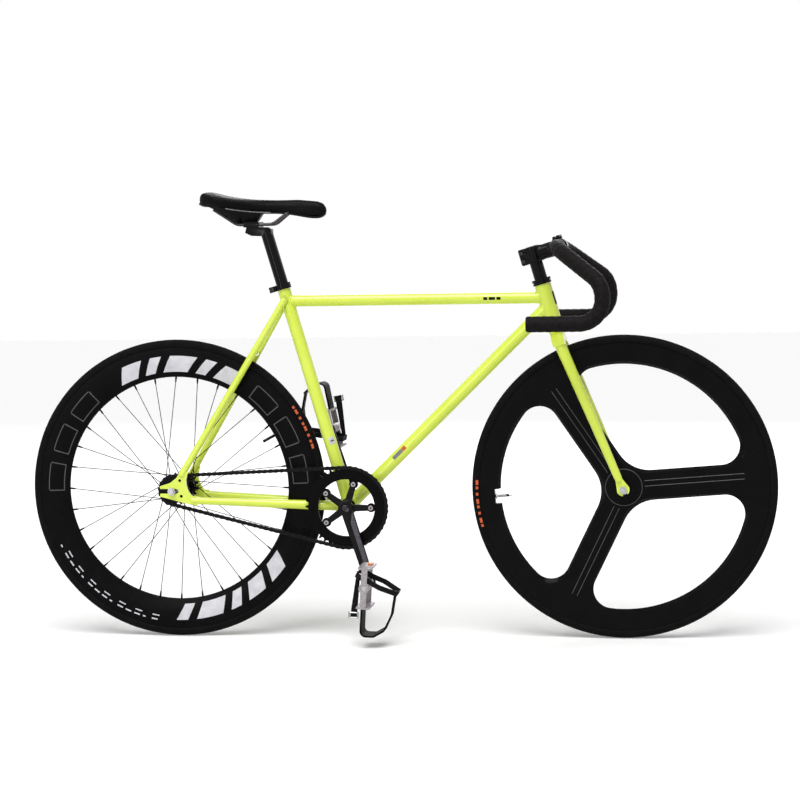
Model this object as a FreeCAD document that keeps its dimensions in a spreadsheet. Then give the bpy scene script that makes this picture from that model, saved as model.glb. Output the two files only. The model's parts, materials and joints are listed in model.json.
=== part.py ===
"""Fixed gear bicycle with a deep rear rim and a three-spoke front wheel, in millimetres.

+X is forward, +Z is up and the drive side faces -Y. The origin is on the ground,
midway between the two axles, in the middle plane of the bicycle.
"""
import FreeCAD, Part
import math
import os
import re

import Sketcher
from FreeCAD import Placement, Rotation, Vector

SIZES = {
    # Layout
    "wheel_radius": 334,
    "wheel_base": 996,
    "bracket_height": 294.5,
    "seat_angle": 74,
    "head_angle": 74,
    "fork_rake": 43,
    # Fits: seated pieces, running bearings, free faces and the overrun of cuts
    "fit_gap": 0.05,
    "run_gap": 0.05,
    "free_gap": 0.3,
    "cut_over": 3,
    # Frame tubes
    "tube_wall": 0.9,
    "seat_tube_radius": 14.3,
    "seat_tube_length": 514,
    "top_tube_radius": 12.7,
    "top_tube_height": 750.5,
    "down_tube_radius": 14.3,
    "down_tube_top_height": 733,
    "head_tube_radius": 18,
    "head_tube_foot": 370,
    "head_tube_length": 94,
    "head_tube_bore": 17,
    # Bottom bracket
    "shell_radius": 20,
    "shell_width": 68,
    "shell_bore": 17.2,
    "cup_depth": 22,
    "cup_flange_radius": 19,
    "cup_flange": 3,
    "spindle_radius": 8.5,
    "spindle_length": 108,
    # Stays and track ends
    "chain_stay_front_radius": 11.5,
    "chain_stay_rear_radius": 7.6,
    "chain_stay_front_offset": 18.5,
    "chain_stay_ahead": 43,
    "chain_stay_drop": 21,
    "seat_stay_radius": 7.6,
    "seat_stay_top_offset": 16,
    "seat_stay_top_height": 757,
    "seat_stay_short": 40,
    "bridge_radius": 6,
    "brake_bridge_reach": 312,
    "chain_stay_bridge_reach": 306,
    "brake_bolt_radius": 3,
    "hub_spacing": 120,
    "dropout_thickness": 6,
    "dropout_reach": 56,
    "dropout_slot_rear": 27,
    "dropout_slot_front": 9.5,
    "dropout_hollow_radius": 45,
    "dropout_hole_radius": 3.5,
    # Rear hub and axle
    "rear_axle_radius": 5,
    "rear_axle_length": 160,
    "track_nut_radius": 9,
    "track_nut_width": 9,
    "lock_nut_radius": 8.5,
    "hub_barrel_radius": 15,
    "hub_flange_radius": 29,
    "hub_flange_thickness": 3.5,
    "hub_flange_offset": 32,
    "hub_thread_radius": 17.3,
    "hub_half_width": 53,
    "hub_bearing_radius": 13,
    "hub_bearing_width": 9,
    # Rear wheel
    "rim_edge_radius": 316,
    "rim_bed_radius": 306,
    "rim_nose_radius": 250,
    "rim_width": 20,
    "rim_channel_width": 16,
    "nose_sides": 4,
    "rim_nose_width": 10,
    "rim_wall": 2,
    "spoke_count": 32,
    "spoke_flare": 2,
    "spoke_sides": 6,
    "nipple_gap": 0.6,
    "spoke_crossings": 3,
    "spoke_radius": 1,
    "spoke_circle": 24,
    "nipple_radius": 2.1,
    "nipple_length": 11,
    "rear_valve_angle": 28,
    "rear_valve_tip_radius": 222,
    # Tyres and inner tubes
    "tyre_width": 23,
    "tyre_crown_flats": 12,
    "tyre_lining_flats": 6,
    "tyre_wall": 2,
    "bead_width": 2,
    "tube_section_radius": 8.9,
    "tube_sides": 8,
    "tube_skin": 1,
    "valve_radius": 3,
    "valve_hole_radius": 3.3,
    "valve_bore": 1,
    # Drive
    "chain_pitch": 12.7,
    "ring_teeth": 44,
    "cog_teeth": 16,
    "ring_wrap_links": 24,
    "cog_wrap_links": 8,
    "run_links": 30,
    "chain_line": 46,
    "chain_inner_width": 3.4,
    "chain_plate": 1.2,
    "chain_plate_height": 8.4,
    "chain_plate_gap": 0.1,
    "roller_radius": 3.85,
    "roller_sides": 6,
    "link_corners": 8,
    "tooth_seat_radius": 4.1,
    "tooth_flank_angle": 16,
    "tooth_tip_height": 2.6,
    "tooth_width": 3,
    "ring_window_radius": 63,
    "ring_tab_radius": 10,
    "spider_bolt_circle": 55,
    "spider_arms": 5,
    "ring_bolt_radius": 4,
    "ring_bolt_head_radius": 5.5,
    "ring_bolt_head": 2,
    "cog_width": 8,
    "cog_root_radius": 26,
    "lockring_radius": 21,
    "lockring_width": 4,
    "freewheel_body_radius": 24,
    "freewheel_width": 13,
    # Cranks
    "crank_length": 170,
    "crank_angle": 288,
    "crank_boss_radius": 17,
    "crank_boss_inner": 42,
    "crank_boss_outer": 62,
    "crank_eye_radius": 13,
    "crank_eye_inner": 62,
    "crank_eye_outer": 75,
    "crank_arm_inner": 50,
    "crank_arm_thickness": 12,
    "crank_arm_root_width": 27,
    "crank_arm_tip_width": 22,
    "spider_thickness": 5,
    "spider_root_width": 17,
    "spider_tip_width": 13,
    "crank_bolt_radius": 7,
    "crank_bolt_head": 5,
    # Pedals
    "right_pedal_rest": 266,
    "left_pedal_rest": 101,
    "pedal_spindle_radius": 6,
    "pedal_inner": 80,
    "pedal_width": 86,
    "pedal_length": 90,
    "pedal_depth": 26,
    "pedal_plate": 4,
    "pedal_barrel_radius": 11,
    "clip_reach": 63,
    "clip_rise": 66,
    "clip_skin": 4,
    "clip_bend": 12,
    "clip_bar_width": 22,
    "clip_cap_width": 58,
    "strap_width": 11,
    "strap_skin": 2.4,
    "strap_behind": 19.5,
    "strap_head_ahead": 8,
    "strap_tail_length": 98,
    "strap_tail_width": 15,
    "strap_tail_fall": 10,
    "strap_tail_offset": 12,
    "buckle_width": 22,
    "buckle_length": 13,
    "buckle_bar": 3,
    "buckle_thickness": 2.5,
    # Seat post and saddle
    "post_radius": 13.6,
    "post_wall": 2,
    "post_insert": 100,
    "post_head_length": 56,
    "post_head_height": 15,
    "post_head_width": 26,
    "collar_height": 12.5,
    "collar_wall": 3.4,
    "collar_ear": 13,
    "collar_ear_width": 16,
    "collar_bolt_radius": 2.5,
    "collar_bolt_head_radius": 4.5,
    "collar_bolt_head": 3,
    "collar_slot": 2.5,
    "rail_radius": 3.5,
    "rail_spread": 22,
    "rail_fall": 30.4,
    "rail_bend": 25,
    "clamp_length": 34,
    "clamp_plate": 6,
    "clamp_bolt_radius": 3,
    "clamp_bolt_head_radius": 6,
    "clamp_bolt_head": 4,
    "saddle_length": 279,
    "saddle_width": 136,
    "saddle_tail_x": -430,
    "saddle_seam_height": 951,
    "saddle_rise": 44,
    "saddle_base_thickness": 5,
    # Fork and headset
    "steerer_radius": 14.3,
    "steerer_bore": 12.75,
    "crown_top": 358,
    "crown_foot": 326,
    "crown_depth": 27,
    "crown_half_width": 52,
    "crown_shoulder": 14,
    "crown_arch": 7,
    "crown_race_radius": 18,
    "blade_top_radius": 13,
    "blade_end_radius": 8.5,
    "blade_top_offset": 37,
    "blade_plug_length": 20,
    "fork_end_tongue": 9,
    "blade_short": 20,
    "front_hub_spacing": 100,
    "fork_end_radius": 14,
    "fork_end_thickness": 6,
    "headset_cup_radius": 20.5,
    "headset_cup_height": 5,
    "headset_skirt": 10,
    "headset_skirt_wall": 1.5,
    "headset_ball_radius": 18.5,
    "headset_gap": 1.5,
    "headset_floor": 1,
    "headset_nut_radius": 21,
    "headset_nut_height": 2.8,
    # Stem and handlebar
    "adapter_insert": 70,
    "adapter_top": 550,
    "stem_clamp_height": 37,
    "stem_clamp_radius": 19,
    "stem_reach": 55.4,
    "stem_rise": 15.8,
    "stem_neck_radius": 16,
    "stem_throat_radius": 18.5,
    "stem_split": 1.5,
    "stem_block_depth": 16,
    "stem_block_height": 50,
    "stem_bolt_spread": 28,
    "stem_bolt_rise": 20.5,
    "stem_bolt_head": 4,
    "bar_clamp_radius": 15.9,
    "bar_clamp_width": 42,
    "stem_bar_radius": 20,
    "stem_ear": 12,
    "stem_ear_width": 22,
    "stem_bolt_radius": 2.5,
    "stem_bolt_head_radius": 4.2,
    "bar_radius": 11.9,
    "bar_wall": 2,
    "bar_half_width": 200,
    "bar_top_half": 110,
    "bar_reach": 102,
    "bar_ramp_drop": 78,
    "bar_drop": 160,
    "bar_tail": 56,
    "bar_shoulder_bend": 100,
    "bar_ramp_bend": 50,
    "bar_hook_bend": 50,
    "bar_bulge_half": 32,
    "tape_radius": 17.2,
    "tape_start": 40,
    "plug_flange": 3,
    "plug_depth": 12,
    # Front wheel
    "front_axle_radius": 4.75,
    "front_axle_length": 136,
    "front_nut_radius": 8.5,
    "front_nut_width": 8,
    "front_opening_radius": 270,
    "front_spoke_half_width": 33,
    "front_spoke_bevel": 5,
    "front_rim_corner": 42,
    "front_hub_corner": 78,
    "front_web": 14,
    "front_rim_inner_width": 16,
    "front_hub_radius": 24,
    "front_hub_half_width": 34,
    "front_hub_step_radius": 17,
    "front_hub_step": 6,
    "front_bearing_radius": 13,
    "front_bearing_width": 8,
    "front_spokes": 3,
    "front_spoke_angle": 4,
    "front_hub_flare": 70,
    "front_hub_flare_half_width": 13,
    "front_valve_tip_radius": 248,
    "front_notch_depth": 13,
    "front_notch_width": 32,
}

# Lengths and angles worked out from the driving sizes
FORMULAS = {
    "ring_pitch_radius": "chain_pitch / (2 * sin(180 / ring_teeth))",
    "cog_pitch_radius": "chain_pitch / (2 * sin(180 / cog_teeth))",
    "ring_last_angle": "ring_wrap_links * 180 / ring_teeth",
    "cog_last_angle": "cog_wrap_links * 180 / cog_teeth",
    "chain_fall": "ring_pitch_radius * sin(ring_last_angle) - cog_pitch_radius * sin(cog_last_angle)",
    "chain_centres": "sqrt((run_links * chain_pitch)^2 - chain_fall^2)"
                     " - ring_pitch_radius * cos(ring_last_angle) - cog_pitch_radius * cos(cog_last_angle)",
    "rear_axle_x": "-wheel_base / 2",
    "front_axle_x": "wheel_base / 2",
    "bracket_drop": "wheel_radius - bracket_height",
    "bracket_x": "rear_axle_x + sqrt(chain_centres^2 - bracket_drop^2)",
    "steering_x": "front_axle_x - fork_rake / sin(head_angle)",
    "tyre_centre_radius": "wheel_radius - tyre_width / 2",
    "tyre_seat_radius": "rim_edge_radius + free_gap",
    "tyre_seat_half": "sqrt((tyre_width / 2)^2 - (tyre_centre_radius - tyre_seat_radius)^2)",
    "bead_outer_half": "rim_channel_width / 2 - free_gap",
    "bead_inner_half": "bead_outer_half - bead_width",
    "tyre_inner_radius": "tyre_width / 2 - tyre_wall",
    "head_tube_top": "head_tube_foot + head_tube_length",
    "race_top": "head_tube_foot - headset_cup_height - headset_gap",
    "cone_foot": "head_tube_top + headset_cup_height + headset_gap",
    "nut_top": "cone_foot + 2 * headset_nut_height + fit_gap",
    "stem_middle": "adapter_top - stem_clamp_height / 2",
    "stem_angle": "atan2(stem_rise; stem_reach)",
    "rail_height": "saddle_seam_height - rail_fall",
    "post_top_height": "rail_height - clamp_plate - post_head_height / 2",
    "post_top": "(post_top_height - bracket_height) / sin(seat_angle)",
    "pedal_middle": "pedal_inner + pedal_width / 2",
}

# Corners of the track end, as shares of its reach
DROPOUT_SHARES = [(-0.5, -0.21), (0.6, -0.5), (1, -0.575), (1, -0.2), (0.8, -0.2)]
DROPOUT_UPPER_SHARES = [(0.66, 0.74), (0.4, 0.9), (0.18, 0.53), (-0.08, 0.33), (-0.5, 0.2)]
DROPOUT_HOLE_SHARES = [(0.31, 0.42), (0.36, -0.2)]
# How far out the deep rim reaches its full width, as a share of its depth
RIM_FLANK_SHARE = 0.62
# Saddle stations: share of the length, of the half width, and of the rise for its top, crown and skirt
SADDLE_SHARES = [
    (0, 0.5, 0.8, 0.1, 0.45), (0.05, 0.78, 1, 0.16, 0.4), (0.14, 0.98, 0.9, 0.2, 0.28),
    (0.27, 0.88, 0.67, 0.22, 0.08), (0.42, 0.52, 0.53, 0.24, -0.02), (0.62, 0.31, 0.47, 0.26, -0.06),
    (0.86, 0.25, 0.445, 0.3, -0.28), (0.96, 0.19, 0.36, 0.3, -0.28), (1, 0.09, 0.1, 0.1, -0.1),
]
SKIRT_WIDTH_SHARE = 0.9
BASE_WIDTH_SHARE = 0.8
# Saddle rail corners: share of the length from the tail, of the fall under the seam, and of the spread
RAIL_SHARES = [(0.12, 0.15, 1.6), (0.3, -1, 1), (0.585, -1, 1), (0.72, -0.05, 0.5)]
# Side view of the seat post's head: shares of its length and height about the top of the post
POST_HEAD_SHARES = [
    (0.25, -0.9), (0.25, 0.25), (0.1, 0.5), (-0.75, 0.5), (-0.8, -0.3), (-0.55, -0.75), (-0.25, -0.8),
]
# Side view of the toe clip: shares of its reach ahead of the pedal and of its rise above the spindle
CLIP_SHARES = [(0, -0.06), (0.98, -0.06), (0.96, 0.38), (0.74, 0.7), (0.2, 0.91), (-0.61, 0.99)]
CLIP_CAP_SHARES = CLIP_SHARES[:4]
# The strap's loop: shares of the clip's rise above the spindle and of the pedal's width
STRAP_SHARES = [(-0.3, 0.3), (-0.14, 0.415), (0.16, 0.415), (0.55, 0.5), (1, 0.22)]


doc = FreeCAD.newDocument("fixed_gear_bicycle")
sheet = doc.addObject("Spreadsheet::Sheet", "sizes")
nodes = {}


def fill_sheet():
    """Writes each driving size as a plain number and each worked-out one as a formula, with its alias."""
    entries = [(alias, str(value)) for alias, value in SIZES.items()]
    entries += [(alias, "=" + text) for alias, text in FORMULAS.items()]
    for row, (alias, text) in enumerate(entries, start=1):
        sheet.set(f"A{row}", alias)
        sheet.set(f"B{row}", text)
        sheet.setAlias(f"B{row}", alias)
    doc.recompute()


def size(text):
    """The value of a formula written in the sheet's own names."""
    return float(sheet.evalExpression(text))


def words(text):
    """The same formula as an object outside the sheet has to write it."""
    def full(match):
        name = match.group()
        return "sizes." + name if name in SIZES or name in FORMULAS else name
    return re.sub(r"[a-z_][a-z_0-9]*", full, text)


def bind(thing, **formulas):
    """Ties properties of an object to formulas of the sheet."""
    for name, text in formulas.items():
        thing.setExpression(name, words(text))


def node(thing, label):
    """Names a finished sub-part, whose label is also its file's name."""
    thing.Label = label
    nodes[label] = thing
    return thing


# Placements

UPRIGHT = Rotation(Vector(1, 0, 0), 90)
"""Turns a shape drawn in XY into the side view: its X stays forward, its Y is up, its Z faces the drive side."""


TURNED_OVER = Placement(Vector(), Rotation(Vector(1, 0, 0), 180))
"""Turns a side-view shape over about its own X, so that its Z faces the other side."""


def side(point, out=0, turn=0):
    """A side-view placement at a point, moved out towards the drive side and turned in that view."""
    return Placement(point - Vector(0, out, 0), UPRIGHT.multiply(Rotation(Vector(0, 0, 1), turn)))


def along(start, end):
    """A placement at start whose Z points at end."""
    return Placement(start, Rotation(Vector(0, 0, 1), end - start))


def mirror_point(point):
    """The same point on the other side of the bicycle."""
    return Vector(point.x, -point.y, point.z)


# Part primitives and booleans

def cylinder(name, radius, height, placement=None):
    """A cylinder along its placement's Z."""
    thing = doc.addObject("Part::Cylinder", name)
    bind(thing, Radius=radius, Height=height)
    thing.Placement = placement or Placement()
    return thing


def prism(name, sides, radius, placement):
    """A rod with flat sides, whose height is set apart."""
    thing = doc.addObject("Part::Prism", name)
    bind(thing, Polygon=sides, Circumradius=radius)
    thing.Placement = placement
    return thing


def rod(name, start, end, radius):
    """A cylinder from point to point."""
    thing = doc.addObject("Part::Cylinder", name)
    bind(thing, Radius=radius)
    thing.Height = (end - start).Length
    thing.Placement = along(start, end)
    return thing


def cone(name, start, end, first, last):
    """A tapered rod from point to point."""
    thing = doc.addObject("Part::Cone", name)
    bind(thing, Radius1=first, Radius2=last)
    thing.Height = (end - start).Length
    thing.Placement = along(start, end)
    return thing


def box(name, length, width, height, placement):
    """A box centred on its placement."""
    thing = doc.addObject("Part::Box", name)
    bind(thing, Length=length, Width=width, Height=height)
    centre = Vector(size(length), size(width), size(height)) * -0.5
    thing.Placement = placement.multiply(Placement(centre, Rotation()))
    return thing


def cut(name, base, *tools):
    """Takes each tool out of the base."""
    for count, tool in enumerate(tools):
        thing = doc.addObject("Part::Cut", f"{name}_cut_{count}")
        thing.Base = base
        thing.Tool = tool
        base = thing
    return base


def fuse(name, *pieces):
    """Joins pieces that are one in the real object."""
    thing = doc.addObject("Part::MultiFuse", f"{name}_fused")
    thing.Shapes = list(pieces)
    thing.Refine = True
    return thing


def common(name, first, second):
    """What two shapes share."""
    thing = doc.addObject("Part::Common", f"{name}_common")
    thing.Base = first
    thing.Tool = second
    return thing


def mirrored(thing):
    """The piece's twin on the other side of the bicycle."""
    twin = doc.addObject("Part::Mirroring", f"{thing.Name}_twin")
    twin.Source = thing
    twin.Normal = Vector(0, 1, 0)
    return twin


def group(name, *pieces):
    """Separate solids that share one node."""
    thing = doc.addObject("Part::Compound", f"{name}_group")
    thing.Links = list(pieces)
    return thing


def copies(name, template, placements):
    """Copies of one solid at many places, as separate solids of one node."""
    doc.recompute()
    thing = doc.addObject("Part::Feature", f"{name}_copies")
    solids = []
    for placement in placements:
        solid = template.Shape.copy()
        solid.Placement = placement.multiply(template.Placement)
        solids.append(solid)
    thing.Shape = Part.makeCompound(solids)
    return thing


def tube(name, start, end, radius, wall):
    """A hollow round tube, open at both ends."""
    outer = rod(f"{name}_outer", start, end, radius)
    reach = (end - start).normalize() * size("cut_over")
    inner = rod(f"{name}_bore", start - reach, end + reach, f"{radius} - {wall}")
    return cut(name, outer, inner)


def tapered_tube(name, start, end, first, last, wall):
    """A hollow tapered tube, open at both ends."""
    outer = cone(f"{name}_outer", start, end, first, last)
    inner = cone(f"{name}_bore", start, end, f"{first} - {wall}", f"{last} - {wall}")
    return cut(name, outer, inner)


def bent_path(name, points, bends):
    """Straight runs through points, joined by tangent arcs of the given radii at the inner points."""
    edges = []
    last = points[0]
    for before, corner, after, radius in zip(points, points[1:], points[2:], bends):
        inward = (before - corner).normalize()
        onward = (after - corner).normalize()
        half_turn = (math.pi - inward.getAngle(onward)) / 2
        reach = radius * math.tan(half_turn)
        middle = (inward + onward).normalize()
        first = corner + inward * reach
        final = corner + onward * reach
        crest = corner + middle * (radius / math.cos(half_turn) - radius)
        edges.append(Part.LineSegment(last, first).toShape())
        edges.append(Part.Arc(first, crest, final).toShape())
        last = final
    edges.append(Part.LineSegment(last, points[-1]).toShape())
    thing = doc.addObject("Part::Feature", f"{name}_path")
    thing.Shape = Part.Wire(edges)
    return thing


def bent_rod(name, points, bends, radius):
    """A round bar swept along straight runs and tangent arcs."""
    path = bent_path(name, points, bends)
    ring = doc.addObject("Part::Circle", f"{name}_section")
    bind(ring, Radius=radius)
    ring.Placement = along(points[0], points[1])
    sweep = doc.addObject("Part::Sweep", f"{name}_sweep")
    sweep.Sections = [ring]
    sweep.Spine = (path, [f"Edge{count}" for count in range(1, len(path.Shape.Edges) + 1)])
    sweep.Solid = True
    return sweep


# Bodies made from sketches

def body(name, placement=None):
    """An empty body at its place."""
    thing = doc.addObject("PartDesign::Body", name)
    thing.Placement = placement or Placement()
    return thing


def sketch_on(part, name, role, offset="0"):
    """A sketch on one of the body's own planes, raised off it by an offset."""
    drawing = part.newObject("Sketcher::SketchObject", name)
    plane = next(feature for feature in part.Origin.OriginFeatures if feature.Role == role)
    drawing.AttachmentSupport = [(plane, "")]
    drawing.MapMode = "FlatFace"
    drawing.setExpression(".AttachmentOffset.Base.z", words(offset))
    return drawing


def add_edge(drawing, start, end, radius):
    """Adds a line, or an arc that turns left for a positive radius, and says where its two ends are."""
    if radius is None:
        return drawing.addGeometry(Part.LineSegment(start, end)), 1, 2
    half = (end - start) * 0.5
    lift = math.sqrt(max(radius**2 - half.Length**2, 0))
    to_centre = Vector(-half.y, half.x, 0).normalize() * math.copysign(lift, radius)
    centre = start + half + to_centre
    first, last = (start, end) if radius > 0 else (end, start)
    first_angle = math.atan2(first.y - centre.y, first.x - centre.x)
    last_angle = math.atan2(last.y - centre.y, last.x - centre.x)
    if last_angle < first_angle:
        last_angle += 2 * math.pi
    circle = Part.Circle(centre, Vector(0, 0, 1), abs(radius))
    edge = drawing.addGeometry(Part.ArcOfCircle(circle, first_angle, last_angle))
    return (edge, 1, 2) if radius > 0 else (edge, 2, 1)


def tie(drawing, kind, edge, end, text):
    """Ties one measure of a sketch to a formula of the sheet."""
    terms = (edge, end) if end else (edge,)
    index = drawing.addConstraint(Sketcher.Constraint(kind, *terms, size(text)))
    drawing.setExpression(f"Constraints[{index}]", words(text))


def outline(drawing, corners):
    """A closed outline: each corner is two formulas, and a third is the radius of an arc to the next corner."""
    points = [Vector(size(corner[0]), size(corner[1]), 0) for corner in corners]
    radii = [size(corner[2]) if len(corner) > 2 else None for corner in corners]
    ends = [add_edge(drawing, point, points[(count + 1) % len(points)], radii[count])
            for count, point in enumerate(points)]
    for (edge, _, last), (following, first, _) in zip(ends, ends[1:] + ends[:1]):
        drawing.addConstraint(Sketcher.Constraint("Coincident", edge, last, following, first))
    for (edge, first, _), corner in zip(ends, corners):
        tie(drawing, "DistanceX", edge, first, corner[0])
        tie(drawing, "DistanceY", edge, first, corner[1])
        if len(corner) > 2:
            tie(drawing, "Radius", edge, None, f"abs({corner[2]})")


def circle(drawing, radius, x="0", y="0"):
    """A circle about a point."""
    centre = Vector(size(x), size(y), 0)
    edge = drawing.addGeometry(Part.Circle(centre, Vector(0, 0, 1), size(radius)))
    tie(drawing, "DistanceX", edge, 3, x)
    tie(drawing, "DistanceY", edge, 3, y)
    tie(drawing, "Radius", edge, None, radius)


def shares_of(shares, across, up=None):
    """Corners at shares of one or two sizes."""
    return [(f"{x} * {across}", f"{y} * {up or across}") for x, y in shares]


def pad(part, drawing, length, middle=False):
    """Raises a sketch, to one side or to both."""
    feature = part.newObject("PartDesign::Pad", f"{drawing.Name}_pad")
    feature.Profile = drawing
    feature.Midplane = middle
    bind(feature, Length=length)
    return feature


def pocket(part, drawing):
    """Cuts a sketch right through the body, both ways."""
    feature = part.newObject("PartDesign::Pocket", f"{drawing.Name}_pocket")
    feature.Profile = drawing
    feature.Type = "ThroughAll"
    feature.Midplane = True
    return feature


def loft(part, kind, drawings):
    """A solid, or a cut, through sketches one after another."""
    feature = part.newObject(f"PartDesign::{kind}Loft", f"{drawings[0].Name}_loft")
    feature.Profile = drawings[0]
    feature.Sections = drawings[1:]
    return feature


def polar(part, features, drawing, count):
    """Repeats features round the body's Z axis."""
    doc.recompute()
    pattern = part.newObject("PartDesign::PolarPattern", f"{features[0].Name}_pattern")
    pattern.Originals = features
    pattern.Axis = (drawing, ["N_Axis"])
    pattern.Angle = 360
    bind(pattern, Occurrences=count)
    part.Tip = pattern
    return pattern


def turned(name, placement, *outlines):
    """A body turned about its Z axis from closed outlines of radius and height."""
    part = body(name, placement)
    drawing = sketch_on(part, f"{name}_profile", "XZ_Plane")
    for corners in outlines:
        outline(drawing, corners)
    feature = part.newObject("PartDesign::Revolution", f"{name}_turn")
    feature.Profile = drawing
    feature.ReferenceAxis = (drawing, ["V_Axis"])
    feature.Angle = 360
    return part


def ring(name, placement, inner, outer, low, high):
    """A plain turned ring."""
    return turned(name, placement, [(inner, low), (outer, low), (outer, high), (inner, high)])


def sprocket(name, placement, teeth, pitch_radius, profile):
    """A turned disc with the seats of the chain's rollers cut round its edge."""
    part = turned(name, placement, profile)
    flank = "tooth_seat_radius * cos(tooth_flank_angle)"
    seat = f"{pitch_radius} - tooth_seat_radius * sin(tooth_flank_angle)"
    mouth = f"{pitch_radius} + tooth_tip_height + cut_over"
    flare = f"{flank} + (tooth_tip_height + cut_over + tooth_seat_radius * sin(tooth_flank_angle))" \
            " * tan(tooth_flank_angle)"
    drawing = sketch_on(part, f"{name}_seat", "XY_Plane")
    outline(drawing, [(mouth, flare), (seat, flank, "tooth_seat_radius"), (seat, f"-{flank}"),
                      (mouth, f"-({flare})")])
    doc.recompute()
    polar(part, [pocket(part, drawing)], drawing, teeth)
    return part


fill_sheet()

# Main points and frames
rear_axle = Vector(size("rear_axle_x"), 0, size("wheel_radius"))
front_axle = Vector(size("front_axle_x"), 0, size("wheel_radius"))
bracket = Vector(size("bracket_x"), 0, size("bracket_height"))
steering = Placement(Vector(size("steering_x"), 0, size("wheel_radius")),
                     Rotation(Vector(0, 1, 0), size("head_angle - 90")))
seat_line = Placement(bracket, Rotation(Vector(0, 1, 0), size("seat_angle - 90")))


def steer_point(height, forward=0, out=0):
    """A point at a distance up the steering axis, ahead of it and out to the drive side."""
    return steering.multVec(Vector(forward, -out, height))


def seat_point(height, forward=0):
    """A point at a distance up the seat tube, and ahead of it."""
    return seat_line.multVec(Vector(forward, 0, height))


def line_at_height(first, second, height):
    """The point of a line at a height above the ground."""
    share = (height - first.z) / (second.z - first.z)
    return first + (second - first) * share


def build_frame_tubes():
    """The main triangle, whose tubes are mitred to each other."""
    seat_top = seat_point(size("seat_tube_length"))
    seat_join = line_at_height(bracket, seat_top, size("top_tube_height"))
    head_top = steer_point(size("head_tube_foot + head_tube_length"))
    head_foot = steer_point(size("head_tube_foot"))
    top_join = line_at_height(head_foot, head_top, size("top_tube_height"))
    down_join = line_at_height(head_foot, head_top, size("down_tube_top_height"))

    shell_place = side(bracket, size("-shell_width / 2"))
    shell = ring("bottom_bracket_shell_body", shell_place, "shell_bore", "shell_radius", "0", "shell_width")
    node(shell, "bottom_bracket_shell")
    shell_solid = cylinder("shell_solid", "shell_radius", "shell_width", shell_place)
    seat_solid = rod("seat_tube_solid", bracket, seat_top, "seat_tube_radius")
    head_solid = rod("head_tube_solid", head_foot, head_top, "head_tube_radius")
    top_solid = rod("top_tube_solid", seat_join, top_join, "top_tube_radius")

    head = ring("head_tube_body", steering, "head_tube_bore", "head_tube_radius",
                "head_tube_foot", "head_tube_foot + head_tube_length")
    node(head, "head_tube")
    seat_bore = rod("seat_tube_bore", bracket, seat_point(size("seat_tube_length + cut_over")),
                    "post_radius + run_gap")
    node(cut("seat_tube", seat_solid, seat_bore, shell_solid), "seat_tube")
    top = tube("top_tube", seat_join, top_join, "top_tube_radius", "tube_wall")
    node(cut("top_tube_mitre", top, seat_solid, head_solid), "top_tube")
    down = tube("down_tube", bracket, down_join, "down_tube_radius", "tube_wall")
    node(cut("down_tube_mitre", down, shell_solid, seat_solid, head_solid, top_solid), "down_tube")
    return shell_solid, seat_solid


def build_dropout():
    """The drive side's track end, a plate with a slot that opens to the rear."""
    half_slot = "rear_axle_radius + free_gap"
    plate = body("dropout_plate", side(rear_axle, size("hub_spacing / 2")))
    drawing = sketch_on(plate, "dropout_outline", "XY_Plane")
    slot = [("-dropout_slot_rear", half_slot), ("dropout_slot_front", half_slot, f"-({half_slot})"),
            (f"dropout_slot_front + {half_slot}", "0", f"-({half_slot})"),
            ("dropout_slot_front", f"-({half_slot})"), ("-dropout_slot_rear", f"-({half_slot})")]
    lower = shares_of(DROPOUT_SHARES, "dropout_reach")
    lower[-1] = (*lower[-1], "-dropout_hollow_radius")
    outline(drawing, slot + lower + shares_of(DROPOUT_UPPER_SHARES, "dropout_reach"))
    pad(plate, drawing, "dropout_thickness")
    holes = sketch_on(plate, "dropout_holes", "XY_Plane")
    for x, y in shares_of(DROPOUT_HOLE_SHARES, "dropout_reach"):
        circle(holes, "dropout_hole_radius", x, y)
    doc.recompute()
    pocket(plate, holes)
    return plate


def flat_way(start, end):
    """The way from one point to another in the side view."""
    return Vector(end.x - start.x, 0, end.z - start.z).normalize()


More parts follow.
